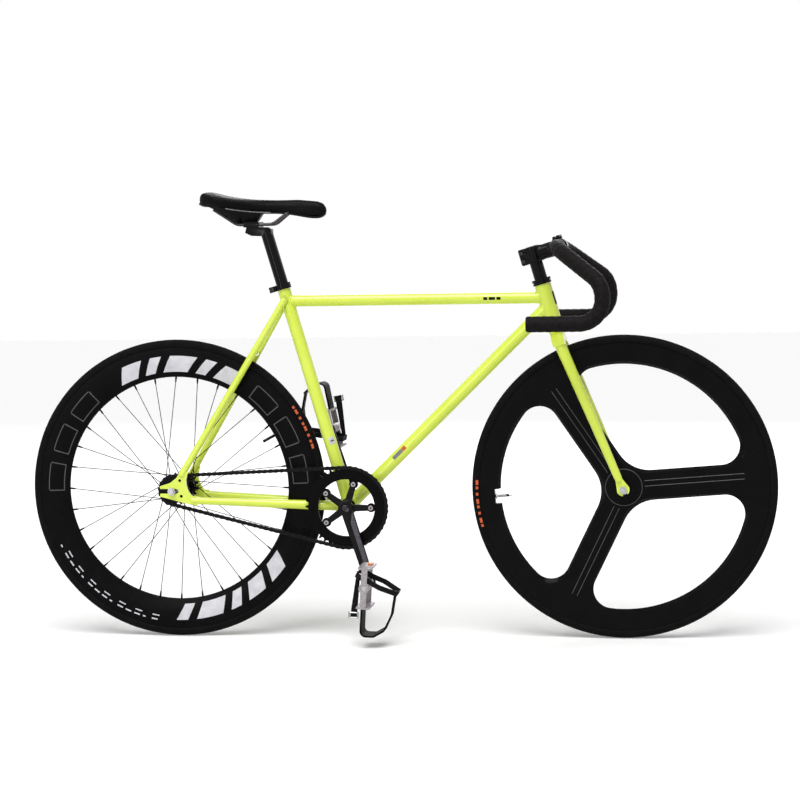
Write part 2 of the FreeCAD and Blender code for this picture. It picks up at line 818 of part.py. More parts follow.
def build_stays(shell_solid, seat_solid):
    """Chain stays, seat stays, their bridges and the track ends."""
    plate = build_dropout()
    node(group("rear_dropouts", plate, mirrored(plate)), "rear_dropouts")
    end_offset = size("hub_spacing / 2 + dropout_thickness / 2")
    end = rear_axle - Vector(0, end_offset, 0)

    front = bracket - Vector(0, size("chain_stay_front_offset"), 0)
    rear = end + Vector(size("chain_stay_ahead"), 0, -size("chain_stay_drop"))
    chain_stay = tapered_tube("chain_stay", front, rear, "chain_stay_front_radius", "chain_stay_rear_radius",
                              "tube_wall")
    chain_stay_solid = cone("chain_stay_solid", front, rear, "chain_stay_front_radius",
                            "chain_stay_rear_radius")
    chain_stay = cut("chain_stay_mitre", chain_stay, shell_solid, seat_solid, plate)
    bridge_end = rear + (front - rear).normalize() * size("chain_stay_bridge_reach")
    bridge = rod("chain_stay_bridge", bridge_end, mirror_point(bridge_end), "bridge_radius")
    bridge = cut("chain_stay_bridge_mitre", bridge, chain_stay_solid, mirrored(chain_stay_solid))
    node(group("chain_stays", chain_stay, mirrored(chain_stay), bridge), "chain_stays")

    top = line_at_height(bracket, seat_point(size("seat_tube_length")), size("seat_stay_top_height"))
    top = top - Vector(0, size("seat_stay_top_offset"), 0)
    foot = end + flat_way(end, top) * size("seat_stay_short")
    seat_stay = tube("seat_stay", foot, top, "seat_stay_radius", "tube_wall")
    seat_stay_solid = rod("seat_stay_solid", foot, top, "seat_stay_radius")
    seat_stay = cut("seat_stay_mitre", seat_stay, seat_solid, plate)
    bridge_end = foot + (top - foot).normalize() * size("brake_bridge_reach")
    bridge = rod("brake_bridge", bridge_end, mirror_point(bridge_end), "bridge_radius")
    middle = Vector(bridge_end.x, 0, bridge_end.z)
    across = Vector(size("bridge_radius + cut_over"), 0, 0)
    bolt_hole = rod("brake_bolt_hole", middle - across, middle + across, "brake_bolt_radius")
    bridge = cut("brake_bridge_mitre", bridge, seat_stay_solid, mirrored(seat_stay_solid), bolt_hole)
    node(group("seat_stays", seat_stay, mirrored(seat_stay), bridge), "seat_stays")


def build_bottom_bracket():
    """Threaded cups in the shell and the spindle that turns in them."""
    cup = turned("bracket_cup", side(bracket, size("shell_width / 2")), [
        ("spindle_radius + run_gap", "-cup_depth"), ("shell_bore - fit_gap", "-cup_depth"),
        ("shell_bore - fit_gap", "0"), ("cup_flange_radius", "0"), ("cup_flange_radius", "cup_flange"),
        ("spindle_radius + run_gap", "cup_flange")])
    node(group("bottom_bracket_cups", cup, mirrored(cup)), "bottom_bracket_cups")
    spindle = cylinder("spindle", "spindle_radius", "spindle_length",
                       side(bracket, size("-spindle_length / 2")))
    node(spindle, "crank_spindle")


def build_rear_axle():
    """The axle, its locknuts inside the track ends and the track nuts outside them."""
    axle = cylinder("rear_axle_rod", "rear_axle_radius", "rear_axle_length",
                    side(rear_axle, size("-rear_axle_length / 2")))
    node(axle, "rear_axle")
    lock = ring("rear_locknut", side(rear_axle), "rear_axle_radius + fit_gap", "lock_nut_radius",
                "hub_half_width + free_gap", "hub_spacing / 2")
    nut = body("track_nut", side(rear_axle, size("hub_spacing / 2 + dropout_thickness")))
    drawing = sketch_on(nut, "track_nut_flats", "XY_Plane")
    hexagon(drawing, "track_nut_radius")
    circle(drawing, "rear_axle_radius + fit_gap")
    pad(nut, drawing, "track_nut_width")
    node(group("rear_axle_nuts", lock, mirrored(lock), nut, mirrored(nut)), "rear_axle_nuts")


def hexagon(drawing, radius):
    """The outline of a hexagon nut or bolt head by its corners' radius."""
    outline(drawing, [(f"{radius} * cos({angle})", f"{radius} * sin({angle})") for angle in range(0, 360, 60)])


def build_rear_hub():
    """Hub shell with two flanges and a thread at each end, and its bearings."""
    near = "hub_flange_offset - hub_flange_thickness / 2"
    far = "hub_flange_offset + hub_flange_thickness / 2"
    seat = "hub_half_width - hub_bearing_width"
    bore = "rear_axle_radius + free_gap"
    half = [("hub_barrel_radius", near), ("hub_flange_radius", near), ("hub_flange_radius", far),
            ("hub_thread_radius", far), ("hub_thread_radius", "hub_half_width"),
            ("hub_bearing_radius", "hub_half_width"), ("hub_bearing_radius", seat), (bore, seat)]
    other = [(radius, f"-({height})") for radius, height in reversed(half)]
    node(turned("rear_hub", side(rear_axle), half + other), "rear_hub_shell")
    bearing = ring("rear_bearing", side(rear_axle), "rear_axle_radius + run_gap",
                   "hub_bearing_radius - fit_gap", seat, "hub_half_width")
    node(group("rear_hub_bearings", bearing, mirrored(bearing)), "rear_hub_bearings")


def nose_flats(top, half):
    """Corners of the rim's rounded nose, from one flank to the other."""
    turns = [f"({index} * 180 / nose_sides)" for index in range(int(size("nose_sides")) + 1)]
    return [(f"{top} - {half} * sin({turn})", f"-{half} * cos({turn})") for turn in turns]


def build_rear_rim():
    """Deep hollow rim with a channel for the tyre and a hole for the valve."""
    half = "rim_width / 2"
    flank = f"rim_nose_radius + {RIM_FLANK_SHARE} * (rim_bed_radius - rim_nose_radius)"
    channel = "rim_channel_width / 2"
    nose = "rim_nose_width / 2"
    nose_top = f"rim_nose_radius + {nose}"
    hull = [("rim_edge_radius", half), ("rim_edge_radius", channel), ("rim_bed_radius", channel),
            ("rim_bed_radius", f"-{channel}"), ("rim_edge_radius", f"-{channel}"),
            ("rim_edge_radius", f"-{half}"), (flank, f"-{half}")] + nose_flats(nose_top, nose) + [(flank, half)]
    roof = "rim_bed_radius - rim_wall"
    thin = f"({nose} - rim_wall)"
    hollow = [(roof, channel), (roof, f"-{channel}"), (flank, f"-({half} - rim_wall)")]
    hollow += nose_flats(nose_top, thin) + [(flank, f"{half} - rim_wall")]
    rim = turned("rear_rim_body", side(rear_axle), hull, hollow)
    node(cut("rear_rim", rim, valve_hole("rear", rear_axle, size("rear_valve_angle"))), "rear_rim")


def spoke_direction(angle):
    """A unit vector of the side view."""
    return Vector(math.cos(math.radians(angle)), 0, math.sin(math.radians(angle)))


def valve_hole(name, axle, angle):
    """The hole that a valve's stem passes through on its way to the hub."""
    way = spoke_direction(angle)
    start = axle + way * size("rim_nose_radius - cut_over")
    return rod(f"{name}_valve_hole", start, axle + way * size("rim_edge_radius"), "valve_hole_radius")


def round_flats(centre, radius, end_half, flats):
    """Corners of a round crown, from one edge over the top to the other, in equal flats."""
    edge = f"acos(-sqrt(1 - ({end_half} / {radius})^2))"
    count = int(size(flats))
    turns = [f"({edge} * (1 - 2 * {index} / {flats}))" for index in range(count + 1)]
    return [(f"{centre} + {radius} * cos({turn})", f"{radius} * sin({turn})") for turn in turns]


def build_tyre(name, axle):
    """An open tyre casing whose beads sit in the rim's channel."""
    bead_foot = "rim_bed_radius + free_gap"
    crown = round_flats("tyre_centre_radius", "(tyre_width / 2)", "tyre_seat_half", "tyre_crown_flats")
    lining = round_flats("tyre_centre_radius", "tyre_inner_radius", "bead_inner_half", "tyre_lining_flats")
    corners = crown + [
        ("tyre_seat_radius", "-bead_outer_half"), (bead_foot, "-bead_outer_half"),
        (bead_foot, "-bead_inner_half"),
    ] + lining[::-1] + [
        (bead_foot, "bead_inner_half"), (bead_foot, "bead_outer_half"), ("tyre_seat_radius", "bead_outer_half")]
    node(turned(f"{name}_tyre_body", side(axle), corners), f"{name}_tyre")


def build_inner_tube(name, axle, angle, tip_radius):
    """A hollow inner tube with a bored valve stem that points at the hub."""
    way = spoke_direction(angle)
    sections = []
    for radius in ("tube_section_radius", "(tube_section_radius - tube_skin)"):
        corners = [f"({count} * 360 / tube_sides)" for count in range(int(size("tube_sides")))]
        sections.append([(f"tyre_centre_radius + {radius} * cos({turn})", f"{radius} * sin({turn})")
                         for turn in corners])
    hose = turned(f"{name}_tube_body", side(axle), *sections)
    root = axle + way * size("tyre_centre_radius - tube_section_radius + tube_skin / 2")
    tip = axle + way * size(tip_radius)
    stem = rod(f"{name}_valve_stem", tip, root, "valve_radius")
    bore = rod(f"{name}_valve_bore", tip - way * size("cut_over"), axle + way * size("tyre_centre_radius"),
               "valve_bore")
    whole = fuse(f"{name}_inner_tube", hose, stem)
    node(cut(f"{name}_tube_bored", whole, bore), f"{name}_inner_tube")


def build_spokes():
    """Crossed spokes with their nipples, half of them to each flange."""
    count = int(size("spoke_count"))
    pitch = size("360 / spoke_count")
    lead = size("720 * spoke_crossings / spoke_count")
    rest = size("hub_flange_thickness / 2 + spoke_radius + fit_gap")
    places = {True: [], False: []}
    lengths = {}
    for index in range(count):
        flange = 1 if index % 2 == 0 else -1
        turn = 1 if index // 2 % 2 == 0 else -1
        angle = index * pitch
        outward = turn == flange
        depth = flange * size("hub_flange_offset") + turn * (rest + (size("spoke_flare") if outward else 0))
        hub_end = rear_axle + spoke_direction(angle + turn * lead) * size("spoke_circle") - Vector(0, depth, 0)
        rim_end = rear_axle + spoke_direction(angle) * size("rim_nose_radius - free_gap")
        places[outward].append(along(hub_end, rim_end))
        lengths[outward] = (rim_end - hub_end).Length
    sets = []
    for outward, name in ((True, "outer"), (False, "inner")):
        wire = prism(f"{name}_spoke_wire", "spoke_sides", "spoke_radius", Placement())
        wire.Height = lengths[outward]
        tip_foot = lengths[outward] - size("nipple_length + nipple_gap")
        tip = prism(f"{name}_spoke_nipple", "spoke_sides", "nipple_radius",
                    Placement(Vector(0, 0, tip_foot), Rotation()))
        bind(tip, Height="nipple_length")
        spoke = fuse(f"{name}_spoke", wire, tip)
        sets.append(copies(f"{name}_spokes", spoke, places[outward]))
    node(group("rear_spokes", *sets), "rear_spokes")


def build_cogs():
    """The fixed cog with its lockring, and a freewheel on the other end of the hub."""
    thread = "hub_thread_radius + fit_gap"
    tip = "cog_pitch_radius + tooth_tip_height"
    chain_turn = math.degrees(math.atan2(bracket.z - rear_axle.z, bracket.x - rear_axle.x))
    place = side(rear_axle, size("chain_line"), chain_turn + 180)
    half = "tooth_width / 2"
    cog = sprocket("fixed_cog_body", place, "cog_teeth", "cog_pitch_radius", [
        (thread, f"{half} - cog_width"), ("cog_root_radius", f"{half} - cog_width"),
        ("cog_root_radius", f"-{half}"), (tip, f"-{half}"), (tip, half), (thread, half)])
    node(cog, "fixed_cog")
    lockring = ring("lockring_body", place, thread, "lockring_radius", f"{half} + fit_gap",
                    f"{half} + fit_gap + lockring_width")
    node(lockring, "cog_lockring")
    far_place = side(rear_axle, size("-chain_line"))
    inner = ring("freewheel_inner", far_place, thread, "freewheel_body_radius", "-freewheel_width / 2",
                 "freewheel_width / 2")
    node(inner, "freewheel_body")
    outer = "freewheel_body_radius + run_gap"
    toothed = sprocket("freewheel_outer", far_place, "cog_teeth", "cog_pitch_radius", [
        (outer, "-freewheel_width / 2"), ("cog_root_radius + tooth_width / 2", "-freewheel_width / 2"),
        ("cog_root_radius + tooth_width / 2", f"-{half}"), (tip, f"-{half}"), (tip, half), (outer, half)])
    node(toothed, "freewheel_ring")


def chain_points():
    """The roller centres, in order round the ring, along the lower run, round the cog and back."""
    forward = (bracket - rear_axle).normalize()
    upward = Vector(-forward.z, 0, forward.x)

    def seats(centre, radius, links, teeth, facing):
        step = 360 / teeth
        angles = [(links / 2 - count) * step for count in range(links + 1)]
        return [centre + (forward * math.cos(math.radians(angle)) * facing
                          + upward * math.sin(math.radians(angle)) * facing) * radius for angle in angles]

    ring_seats = seats(bracket, size("ring_pitch_radius"), int(size("ring_wrap_links")), size("ring_teeth"), 1)
    cog_seats = seats(rear_axle, size("cog_pitch_radius"), int(size("cog_wrap_links")), size("cog_teeth"), -1)
    run = int(size("run_links"))

    def between(start, end):
        return [start + (end - start) * (count / run) for count in range(1, run)]

    return (ring_seats + between(ring_seats[-1], cog_seats[0]) + cog_seats
            + between(cog_seats[-1], ring_seats[0]))


def link_plate(name, part, low):
    """One side plate of a link, with eight corners."""
    drawing = sketch_on(part, name, "XY_Plane", low)
    half = "chain_plate_height / 2"
    small = f"{half} * tan(180 / link_corners)"
    outline(drawing, [(f"chain_pitch + {half}", f"-{small}"), (f"chain_pitch + {half}", small),
                      (f"chain_pitch + {small}", half), (f"-{small}", half), (f"-{half}", small),
                      (f"-{half}", f"-{small}"), (f"-{small}", f"-{half}"),
                      (f"chain_pitch + {small}", f"-{half}")])
    return pad(part, drawing, "chain_plate")


def build_chain():
    """Inner links with rollers and outer links, one after the other round both sprockets."""
    points = chain_points()
    out = Vector(0, size("chain_line"), 0)
    ends = list(zip(points, points[1:] + points[:1]))

    def places(links):
        return [side(start - out, 0, math.degrees(math.atan2(end.z - start.z, end.x - start.x)))
                for start, end in links]

    inner_face = "chain_inner_width / 2"
    outer_face = "chain_inner_width / 2 + chain_plate + chain_plate_gap"
    solids = []
    for name, face in (("inner", inner_face), ("outer", outer_face)):
        near = body(f"{name}_near_plate")
        link_plate(f"{name}_near_outline", near, face)
        far = body(f"{name}_far_plate")
        link_plate(f"{name}_far_outline", far, f"-({face}) - chain_plate")
        solids.append((near, far))
    rollers = []
    for name, reach in (("near", "0"), ("far", "chain_pitch")):
        roller = prism(f"roller_{name}", "roller_sides", "roller_radius",
                       Placement(Vector(size(reach), 0, size("-chain_inner_width / 2")), Rotation()))
        bind(roller, Height="chain_inner_width")
        rollers.append(roller)
    inner = fuse("inner_link", *solids[0], *rollers)
    outer = group("outer_link", *solids[1])
    inner_links = copies("chain_inner_links", inner, places(ends[0::2]))
    outer_links = copies("chain_outer_links", outer, places(ends[1::2]))
    node(group("chain", inner_links, outer_links), "chain")
    doc.recompute()
    misfit = max(abs((end - start).Length - size("chain_pitch")) for start, end in ends)
    print(f"chain: {len(points)} links, pitch out by {misfit:.5f}")


def build_chainring():
    """The toothed ring with a tab for each spider arm, and its bolts."""
    chain_turn = math.degrees(math.atan2(bracket.z - rear_axle.z, bracket.x - rear_axle.x))
    half = "tooth_width / 2"
    tip = "ring_pitch_radius + tooth_tip_height"
    place = side(bracket, size("chain_line"), chain_turn)
    toothed = sprocket("chainring_teeth", place, "ring_teeth", "ring_pitch_radius", [
        ("ring_window_radius", f"-{half}"), (tip, f"-{half}"), (tip, half), ("ring_window_radius", half)])
    tabs = body("chainring_tabs", side(bracket, size("chain_line"), size("crank_angle")))
    drawing = sketch_on(tabs, "chainring_tab", "XY_Plane")
    circle(drawing, "ring_tab_radius", "spider_bolt_circle")
    circle(drawing, "ring_bolt_radius + fit_gap", "spider_bolt_circle")
    tab = pad(tabs, drawing, "tooth_width", True)
    polar(tabs, [tab], drawing, "spider_arms")
    node(fuse("chainring", toothed, tabs), "chainring")

    low = f"-{half} - ring_bolt_head"
    high = f"{half} + spider_thickness + ring_bolt_head"
    bolt = turned("ring_bolt", Placement(), [
        ("0", low), ("ring_bolt_head_radius", low), ("ring_bolt_head_radius", f"-{half}"),
        ("ring_bolt_radius", f"-{half}"), ("ring_bolt_radius", f"{half} + spider_thickness"),
        ("ring_bolt_head_radius", f"{half} + spider_thickness"), ("ring_bolt_head_radius", high), ("0", high)])
    turns = [size(f"crank_angle + {arm} * 360 / spider_arms") for arm in range(int(size("spider_arms")))]
    reach = Placement(Vector(size("spider_bolt_circle"), 0, 0), Rotation())
    places = [side(bracket, size("chain_line"), turn).multiply(reach) for turn in turns]
    node(copies("chainring_bolts", bolt, places), "chainring_bolts")


def build_crank_arm(name, place):
    """A bevelled arm lofted from the boss on the spindle to the pedal's eye."""
    arm = body(f"{name}_arm", place)
    sections = []
    for end, reach, width, low in (
            ("root", "0", "crank_arm_root_width", "crank_arm_inner"),
            ("tip", "crank_length", "crank_arm_tip_width", "crank_eye_inner")):
        drawing = sketch_on(arm, f"{name}_{end}", "YZ_Plane", reach)
        inner, outer = (low, f"{low} + crank_arm_thickness")
        bevel = f"{low} + crank_arm_thickness / 2"
        outline(drawing, [(f"-{width} / 2", inner), (f"{width} / 2", inner), (f"{width} / 2", bevel),
                          (f"{width} / 4", outer), (f"-{width} / 4", outer), (f"-{width} / 2", bevel)])
        sections.append(drawing)
    loft(arm, "Additive", sections)
    boss = cylinder(f"{name}_boss", "crank_boss_radius", "crank_boss_outer - crank_boss_inner",
                    place.multiply(Placement(Vector(0, 0, size("crank_boss_inner")), Rotation())))
    eye_place = Placement(Vector(size("crank_length"), 0, size("crank_eye_inner")), Rotation())
    eye = cylinder(f"{name}_eye", "crank_eye_radius", "crank_eye_outer - crank_eye_inner",
                   place.multiply(eye_place))
    return [arm, boss, eye]


def crank_holes(name, place):
    """The spindle's hole and the pedal's hole."""
    start = place.multiply(Placement(Vector(0, 0, size("crank_boss_inner - cut_over")), Rotation()))
    spindle = cylinder(f"{name}_spindle_hole", "spindle_radius + fit_gap",
                       "spindle_length / 2 - crank_boss_inner + cut_over", start)
    bolt_start = place.multiply(Placement(Vector(0, 0, size("spindle_length / 2 - cut_over")), Rotation()))
    bolt = cylinder(f"{name}_bolt_hole", "crank_bolt_radius + fit_gap",
                    "crank_boss_outer - spindle_length / 2 + 2 * cut_over", bolt_start)
    eye = Placement(Vector(size("crank_length"), 0, size("crank_eye_inner - cut_over")), Rotation())
    pedal = cylinder(f"{name}_pedal_hole", "pedal_spindle_radius + fit_gap",
                     "crank_eye_outer - crank_eye_inner + 2 * cut_over", place.multiply(eye))
    return [spindle, bolt, pedal]


def build_cranks():
    """Two cranks half a turn apart; the drive side's has the spider that carries the ring."""
    right_place = side(bracket, 0, size("crank_angle"))
    spider = body("spider", right_place)
    low = "chain_line + tooth_width / 2"
    drawing = sketch_on(spider, "spider_arm", "XY_Plane", low)
    tip = "spider_tip_width / 2"
    outline(drawing, [("0", "-spider_root_width / 2"), ("spider_bolt_circle", f"-{tip}", tip),
                      (f"spider_bolt_circle + {tip}", "0", tip), ("spider_bolt_circle", tip),
                      ("0", "spider_root_width / 2")])
    arm = pad(spider, drawing, "spider_thickness")
    polar(spider, [arm], drawing, "spider_arms")
    holes = sketch_on(spider, "spider_holes", "XY_Plane")
    circle(holes, "ring_bolt_radius + fit_gap", "spider_bolt_circle")
    doc.recompute()
    polar(spider, [pocket(spider, holes)], holes, "spider_arms")
    recess = cylinder("ring_bolt_recess", "ring_bolt_head_radius + free_gap", "ring_bolt_head + free_gap",
                      right_place.multiply(Placement(
                          Vector(size("spider_bolt_circle"), 0, size(f"{low} + spider_thickness")),
                          Rotation())))
    right = fuse("right_crank", spider, *build_crank_arm("right_crank", right_place))
    node(cut("right_crank_bored", right, recess, *crank_holes("right_crank", right_place)), "right_crank")

    left_place = side(bracket, 0, size("crank_angle - 180")).multiply(TURNED_OVER)
    left = fuse("left_crank", *build_crank_arm("left_crank", left_place))
    node(cut("left_crank_bored", left, *crank_holes("left_crank", left_place)), "left_crank")

    head = "spindle_length / 2"
    bolt = ring("crank_bolt", right_place, "crank_bolt_radius / 2", "crank_bolt_radius", head,
                f"{head} + crank_bolt_head")
    far_bolt = ring("left_crank_bolt", left_place, "crank_bolt_radius / 2", "crank_bolt_radius", head,
                    f"{head} + crank_bolt_head")
    node(group("crank_bolts", bolt, far_bolt), "crank_bolts")
    return right_place, left_place


def build_headset_and_fork():
    """Headset cups, bearings and nuts, the crown with its steerer, and the straight blades."""
    inner = "head_tube_bore - fit_gap - headset_skirt_wall"
    lip = "headset_ball_radius + run_gap"

    def cup(name, face, out):
        floor = f"{face} + {out} * headset_floor"
        edge = f"{face} + {out} * headset_cup_height"
        deep = f"{face} - {out} * headset_skirt"
        return turned(name, steering, [
            (inner, deep), ("head_tube_bore - fit_gap", deep), ("head_tube_bore - fit_gap", face),
            ("headset_cup_radius", face), ("headset_cup_radius", edge), (lip, edge), (lip, floor),
            (inner, floor)])

    upper = cup("upper_cup", "head_tube_top", "1")
    lower = cup("lower_cup", "head_tube_foot", "-1")
    node(group("headset_cups", upper, lower), "headset_cups")

    hole = "steerer_radius + fit_gap"
    upper_balls = ring("upper_balls", steering, hole, "headset_ball_radius",
                       "head_tube_top + headset_floor + fit_gap", "cone_foot")
    lower_balls = ring("lower_balls", steering, hole, "headset_ball_radius", "race_top",
                       "head_tube_foot - headset_floor - fit_gap")
    node(group("headset_bearings", upper_balls, lower_balls), "headset_bearings")
    cone_top = "cone_foot + headset_nut_height"
    cone_nut = ring("cone_nut", steering, hole, "headset_nut_radius", "cone_foot", cone_top)
    lock_nut = ring("lock_nut", steering, hole, "headset_nut_radius", f"{cone_top} + fit_gap", "nut_top")
    node(group("headset_nuts", cone_nut, lock_nut), "headset_nuts")

    crown = body("crown", steering)
    drawing = sketch_on(crown, "crown_front", "YZ_Plane")
    inside = "(blade_top_offset - blade_top_radius)"
    outline(drawing, [
        ("-crown_half_width", "crown_foot"),
        (f"-{inside}", "crown_foot", f"-({inside}^2 + crown_arch^2) / (2 * crown_arch)"),
        (inside, "crown_foot"), ("crown_half_width", "crown_foot"),
        ("crown_half_width", "crown_foot + crown_shoulder"), ("crown_race_radius", "crown_top"),
        ("-crown_race_radius", "crown_top"), ("-crown_half_width", "crown_foot + crown_shoulder")])
    pad(crown, drawing, "crown_depth", True)
    steerer = turned("steerer", steering, [
        ("steerer_bore", "crown_top - cut_over"), ("crown_race_radius", "crown_top - cut_over"),
        ("crown_race_radius", "race_top"), ("steerer_radius", "race_top"), ("steerer_radius", "nut_top"),
        ("steerer_bore", "nut_top")])
    brake_place = steering.multiply(Placement(
        Vector(size("-crown_depth"), 0, size("(crown_foot + crown_top + crown_arch) / 2")),
        Rotation(Vector(0, 1, 0), 90)))
    brake_hole = cylinder("crown_bolt_hole", "brake_bolt_radius", "2 * crown_depth", brake_place)
    node(cut("fork_crown", fuse("fork_crown", crown, steerer), brake_hole), "fork_crown")

    start = steer_point(size("crown_foot + crown_shoulder"), 0, size("blade_top_offset"))
    end = front_axle - Vector(0, size("front_hub_spacing / 2 + fork_end_thickness / 2"), 0)
    foot = end + (start - end).normalize() * size("blade_short")
    blade = tapered_tube("fork_blade", start, foot, "blade_top_radius", "blade_end_radius", "tube_wall")
    middle = Placement(Vector(0, 0, size("crown_foot + crown_shoulder")), Rotation())
    trim = box("fork_blade_trim", "2 * crown_half_width", "4 * crown_half_width", "2 * crown_shoulder",
               steering.multiply(middle))
    blade = cut("fork_blade_mitre", blade, trim)
    lean = math.degrees(math.atan2(start.z - end.z, start.x - end.x))
    tab = body("fork_end", side(front_axle, size("front_hub_spacing / 2"), lean))
    drawing = sketch_on(tab, "fork_end_outline", "XY_Plane")
    length = "blade_short + fork_end_radius"
    width = "fork_end_tongue / 2"
    outline(drawing, [(length, f"-{width}"), (length, width), ("0", "fork_end_radius", "fork_end_radius"),
                      ("-fork_end_radius", "0", "fork_end_radius"), ("0", "-fork_end_radius")])
    pad(tab, drawing, "fork_end_thickness")
    slot = sketch_on(tab, "fork_end_slot", "XY_Plane")
    half = "front_axle_radius + free_gap"
    outline(slot, [("0", f"-({half})", half), (half, "0", half), ("0", half),
                   ("-fork_end_radius - cut_over", half), ("-fork_end_radius - cut_over", f"-({half})")])
    doc.recompute()
    pocket(tab, slot)
    plug = rod("blade_plug", foot, foot + (start - end).normalize() * size("blade_plug_length"),
               "blade_end_radius - tube_wall / 2")
    whole = fuse("fork_blade", blade, plug, tab)
    node(group("fork_blades", whole, mirrored(whole)), "fork_blades")


def build_stem():
    """The quill adapter, the stem with its split clamps, the faceplate and the bolts."""
    adapter = turned("adapter", steering, [
        ("0", "nut_top - adapter_insert"), ("steerer_bore - fit_gap", "nut_top - adapter_insert"),
        ("steerer_bore - fit_gap", "nut_top + fit_gap"), ("steerer_radius", "nut_top + fit_gap"),
        ("steerer_radius", "adapter_top"), ("0", "adapter_top")])
    node(adapter, "stem_adapter")
    middle = steer_point(size("stem_middle"))
    bar = middle + Vector(size("stem_reach"), 0, size("stem_rise"))
    forward = (bar - middle).normalize()
    level = Rotation(Vector(0, 1, 0), -size("stem_angle"))

    clamp_foot = Vector(0, 0, size("adapter_top - stem_clamp_height"))
    clamp = cylinder("stem_clamp", "stem_clamp_radius", "stem_clamp_height",
                     steering.multiply(Placement(clamp_foot, Rotation())))
    neck = cone("stem_neck", middle, bar, "stem_neck_radius", "stem_throat_radius")
    ears = box("stem_ears", "stem_clamp_radius + stem_ear", "stem_ear_width", "stem_clamp_height",
               steering.multiply(Placement(
                   Vector(size("-(stem_clamp_radius + stem_ear) / 2"), 0, size("stem_middle")), Rotation())))
    barrel_place = side(bar, size("-bar_clamp_width / 2"))
    barrel = cylinder("bar_barrel", "stem_bar_radius", "bar_clamp_width", barrel_place)
    block = box("bar_block", "stem_block_depth", "bar_clamp_width", "stem_block_height", Placement(bar, level))
    bar_hole = cylinder("bar_hole", "bar_clamp_radius + fit_gap", "bar_clamp_width + 2 * cut_over",
                        side(bar, size("-bar_clamp_width / 2 - cut_over")))
    adapter_hole = cylinder("adapter_hole", "steerer_radius + fit_gap", "stem_clamp_height + 2 * cut_over",
                            steering.multiply(Placement(
                                Vector(0, 0, size("adapter_top - stem_clamp_height - cut_over")), Rotation())))
    ear_slot = box("ear_slot", "2 * (stem_clamp_radius + stem_ear)", "stem_split",
                   "stem_clamp_height + 2 * cut_over", steering.multiply(Placement(
                       Vector(size("-stem_clamp_radius - stem_ear"), 0, size("stem_middle")), Rotation())))
    across = "bar_clamp_width + 2 * cut_over"
    tall = "stem_block_height + 2 * cut_over"
    ahead = box("faceplate_half", "stem_block_height", across, tall,
                Placement(bar + forward * size("(stem_block_height + stem_split) / 2"), level))
    split = box("stem_split_gap", "stem_split", across, tall, Placement(bar, level))

    over = forward * size("cut_over")
    face_bolts = []
    face_holes = []
    seats = []
    for row in (-1, 1):
        for column in (-1, 1):
            name = f"face_bolt_{row + 1}_{column + 1}"
            offset = Vector(0, column * size("stem_bolt_spread / 2"), row * size("stem_bolt_rise"))
            centre = bar + level.multVec(offset)
            front = centre + forward * size("stem_block_depth / 2")
            back = centre - forward * size("stem_block_depth / 2")
            shaft = rod(f"{name}_shaft", back, front, "stem_bolt_radius")
            head = rod(f"{name}_head", front, front + forward * size("stem_bolt_head"), "stem_bolt_head_radius")
            face_bolts.append(fuse(name, shaft, head))
            face_holes.append(rod(f"{name}_hole", back - over, front + over, "stem_bolt_radius + fit_gap"))
            seats.append(rod(f"{name}_seat", front, front + forward * size("stem_bar_radius"),
                             "stem_bolt_head_radius + free_gap"))
    pinch_bolts = []
    pinch_holes = []
    for row in (-1, 1):
        name = f"pinch_bolt_{row + 1}"
        centre = steer_point(size("stem_middle") + row * size("stem_clamp_height / 4"),
                             size("-stem_clamp_radius - stem_ear / 2"))
        near = centre - Vector(0, size("stem_ear_width / 2"), 0)
        far = mirror_point(near)
        shaft = rod(f"{name}_shaft", far, near, "stem_bolt_radius")
        head = rod(f"{name}_head", near, near - Vector(0, size("stem_bolt_head"), 0), "stem_bolt_head_radius")
        pinch_bolts.append(fuse(name, shaft, head))
        pinch_holes.append(rod(f"{name}_hole", far, near, "stem_bolt_radius + fit_gap"))

    holder = fuse("bar_holder", barrel, block)
    whole = fuse("stem_solid", clamp, neck, ears, holder)
    rear = cut("stem_body", whole, bar_hole, adapter_hole, ear_slot, ahead, split, *face_holes, *pinch_holes)
    node(rear, "stem")
    plate = cut("faceplate", common("faceplate", holder, ahead), bar_hole, *face_holes, *seats)
    node(plate, "stem_faceplate")
    node(group("stem_bolts", *face_bolts, *pinch_bolts), "stem_bolts")
    return bar


def bar_corners(bar, out, tail_extra=0, start=None):
    """Corners of one half of the track bar, from its middle or a start on its top to its end."""
    first = Vector(0, start or 0, 0)
    corners = [first, Vector(0, size("bar_top_half"), 0),
               Vector(size("bar_reach"), size("bar_half_width"), -size("bar_ramp_drop")),
               Vector(size("bar_reach"), size("bar_half_width"), -size("bar_drop")),
               Vector(-size("bar_tail") - tail_extra, size("bar_half_width"), -size("bar_drop"))]
    return [bar + Vector(corner.x, -out * corner.y, corner.z) for corner in corners]


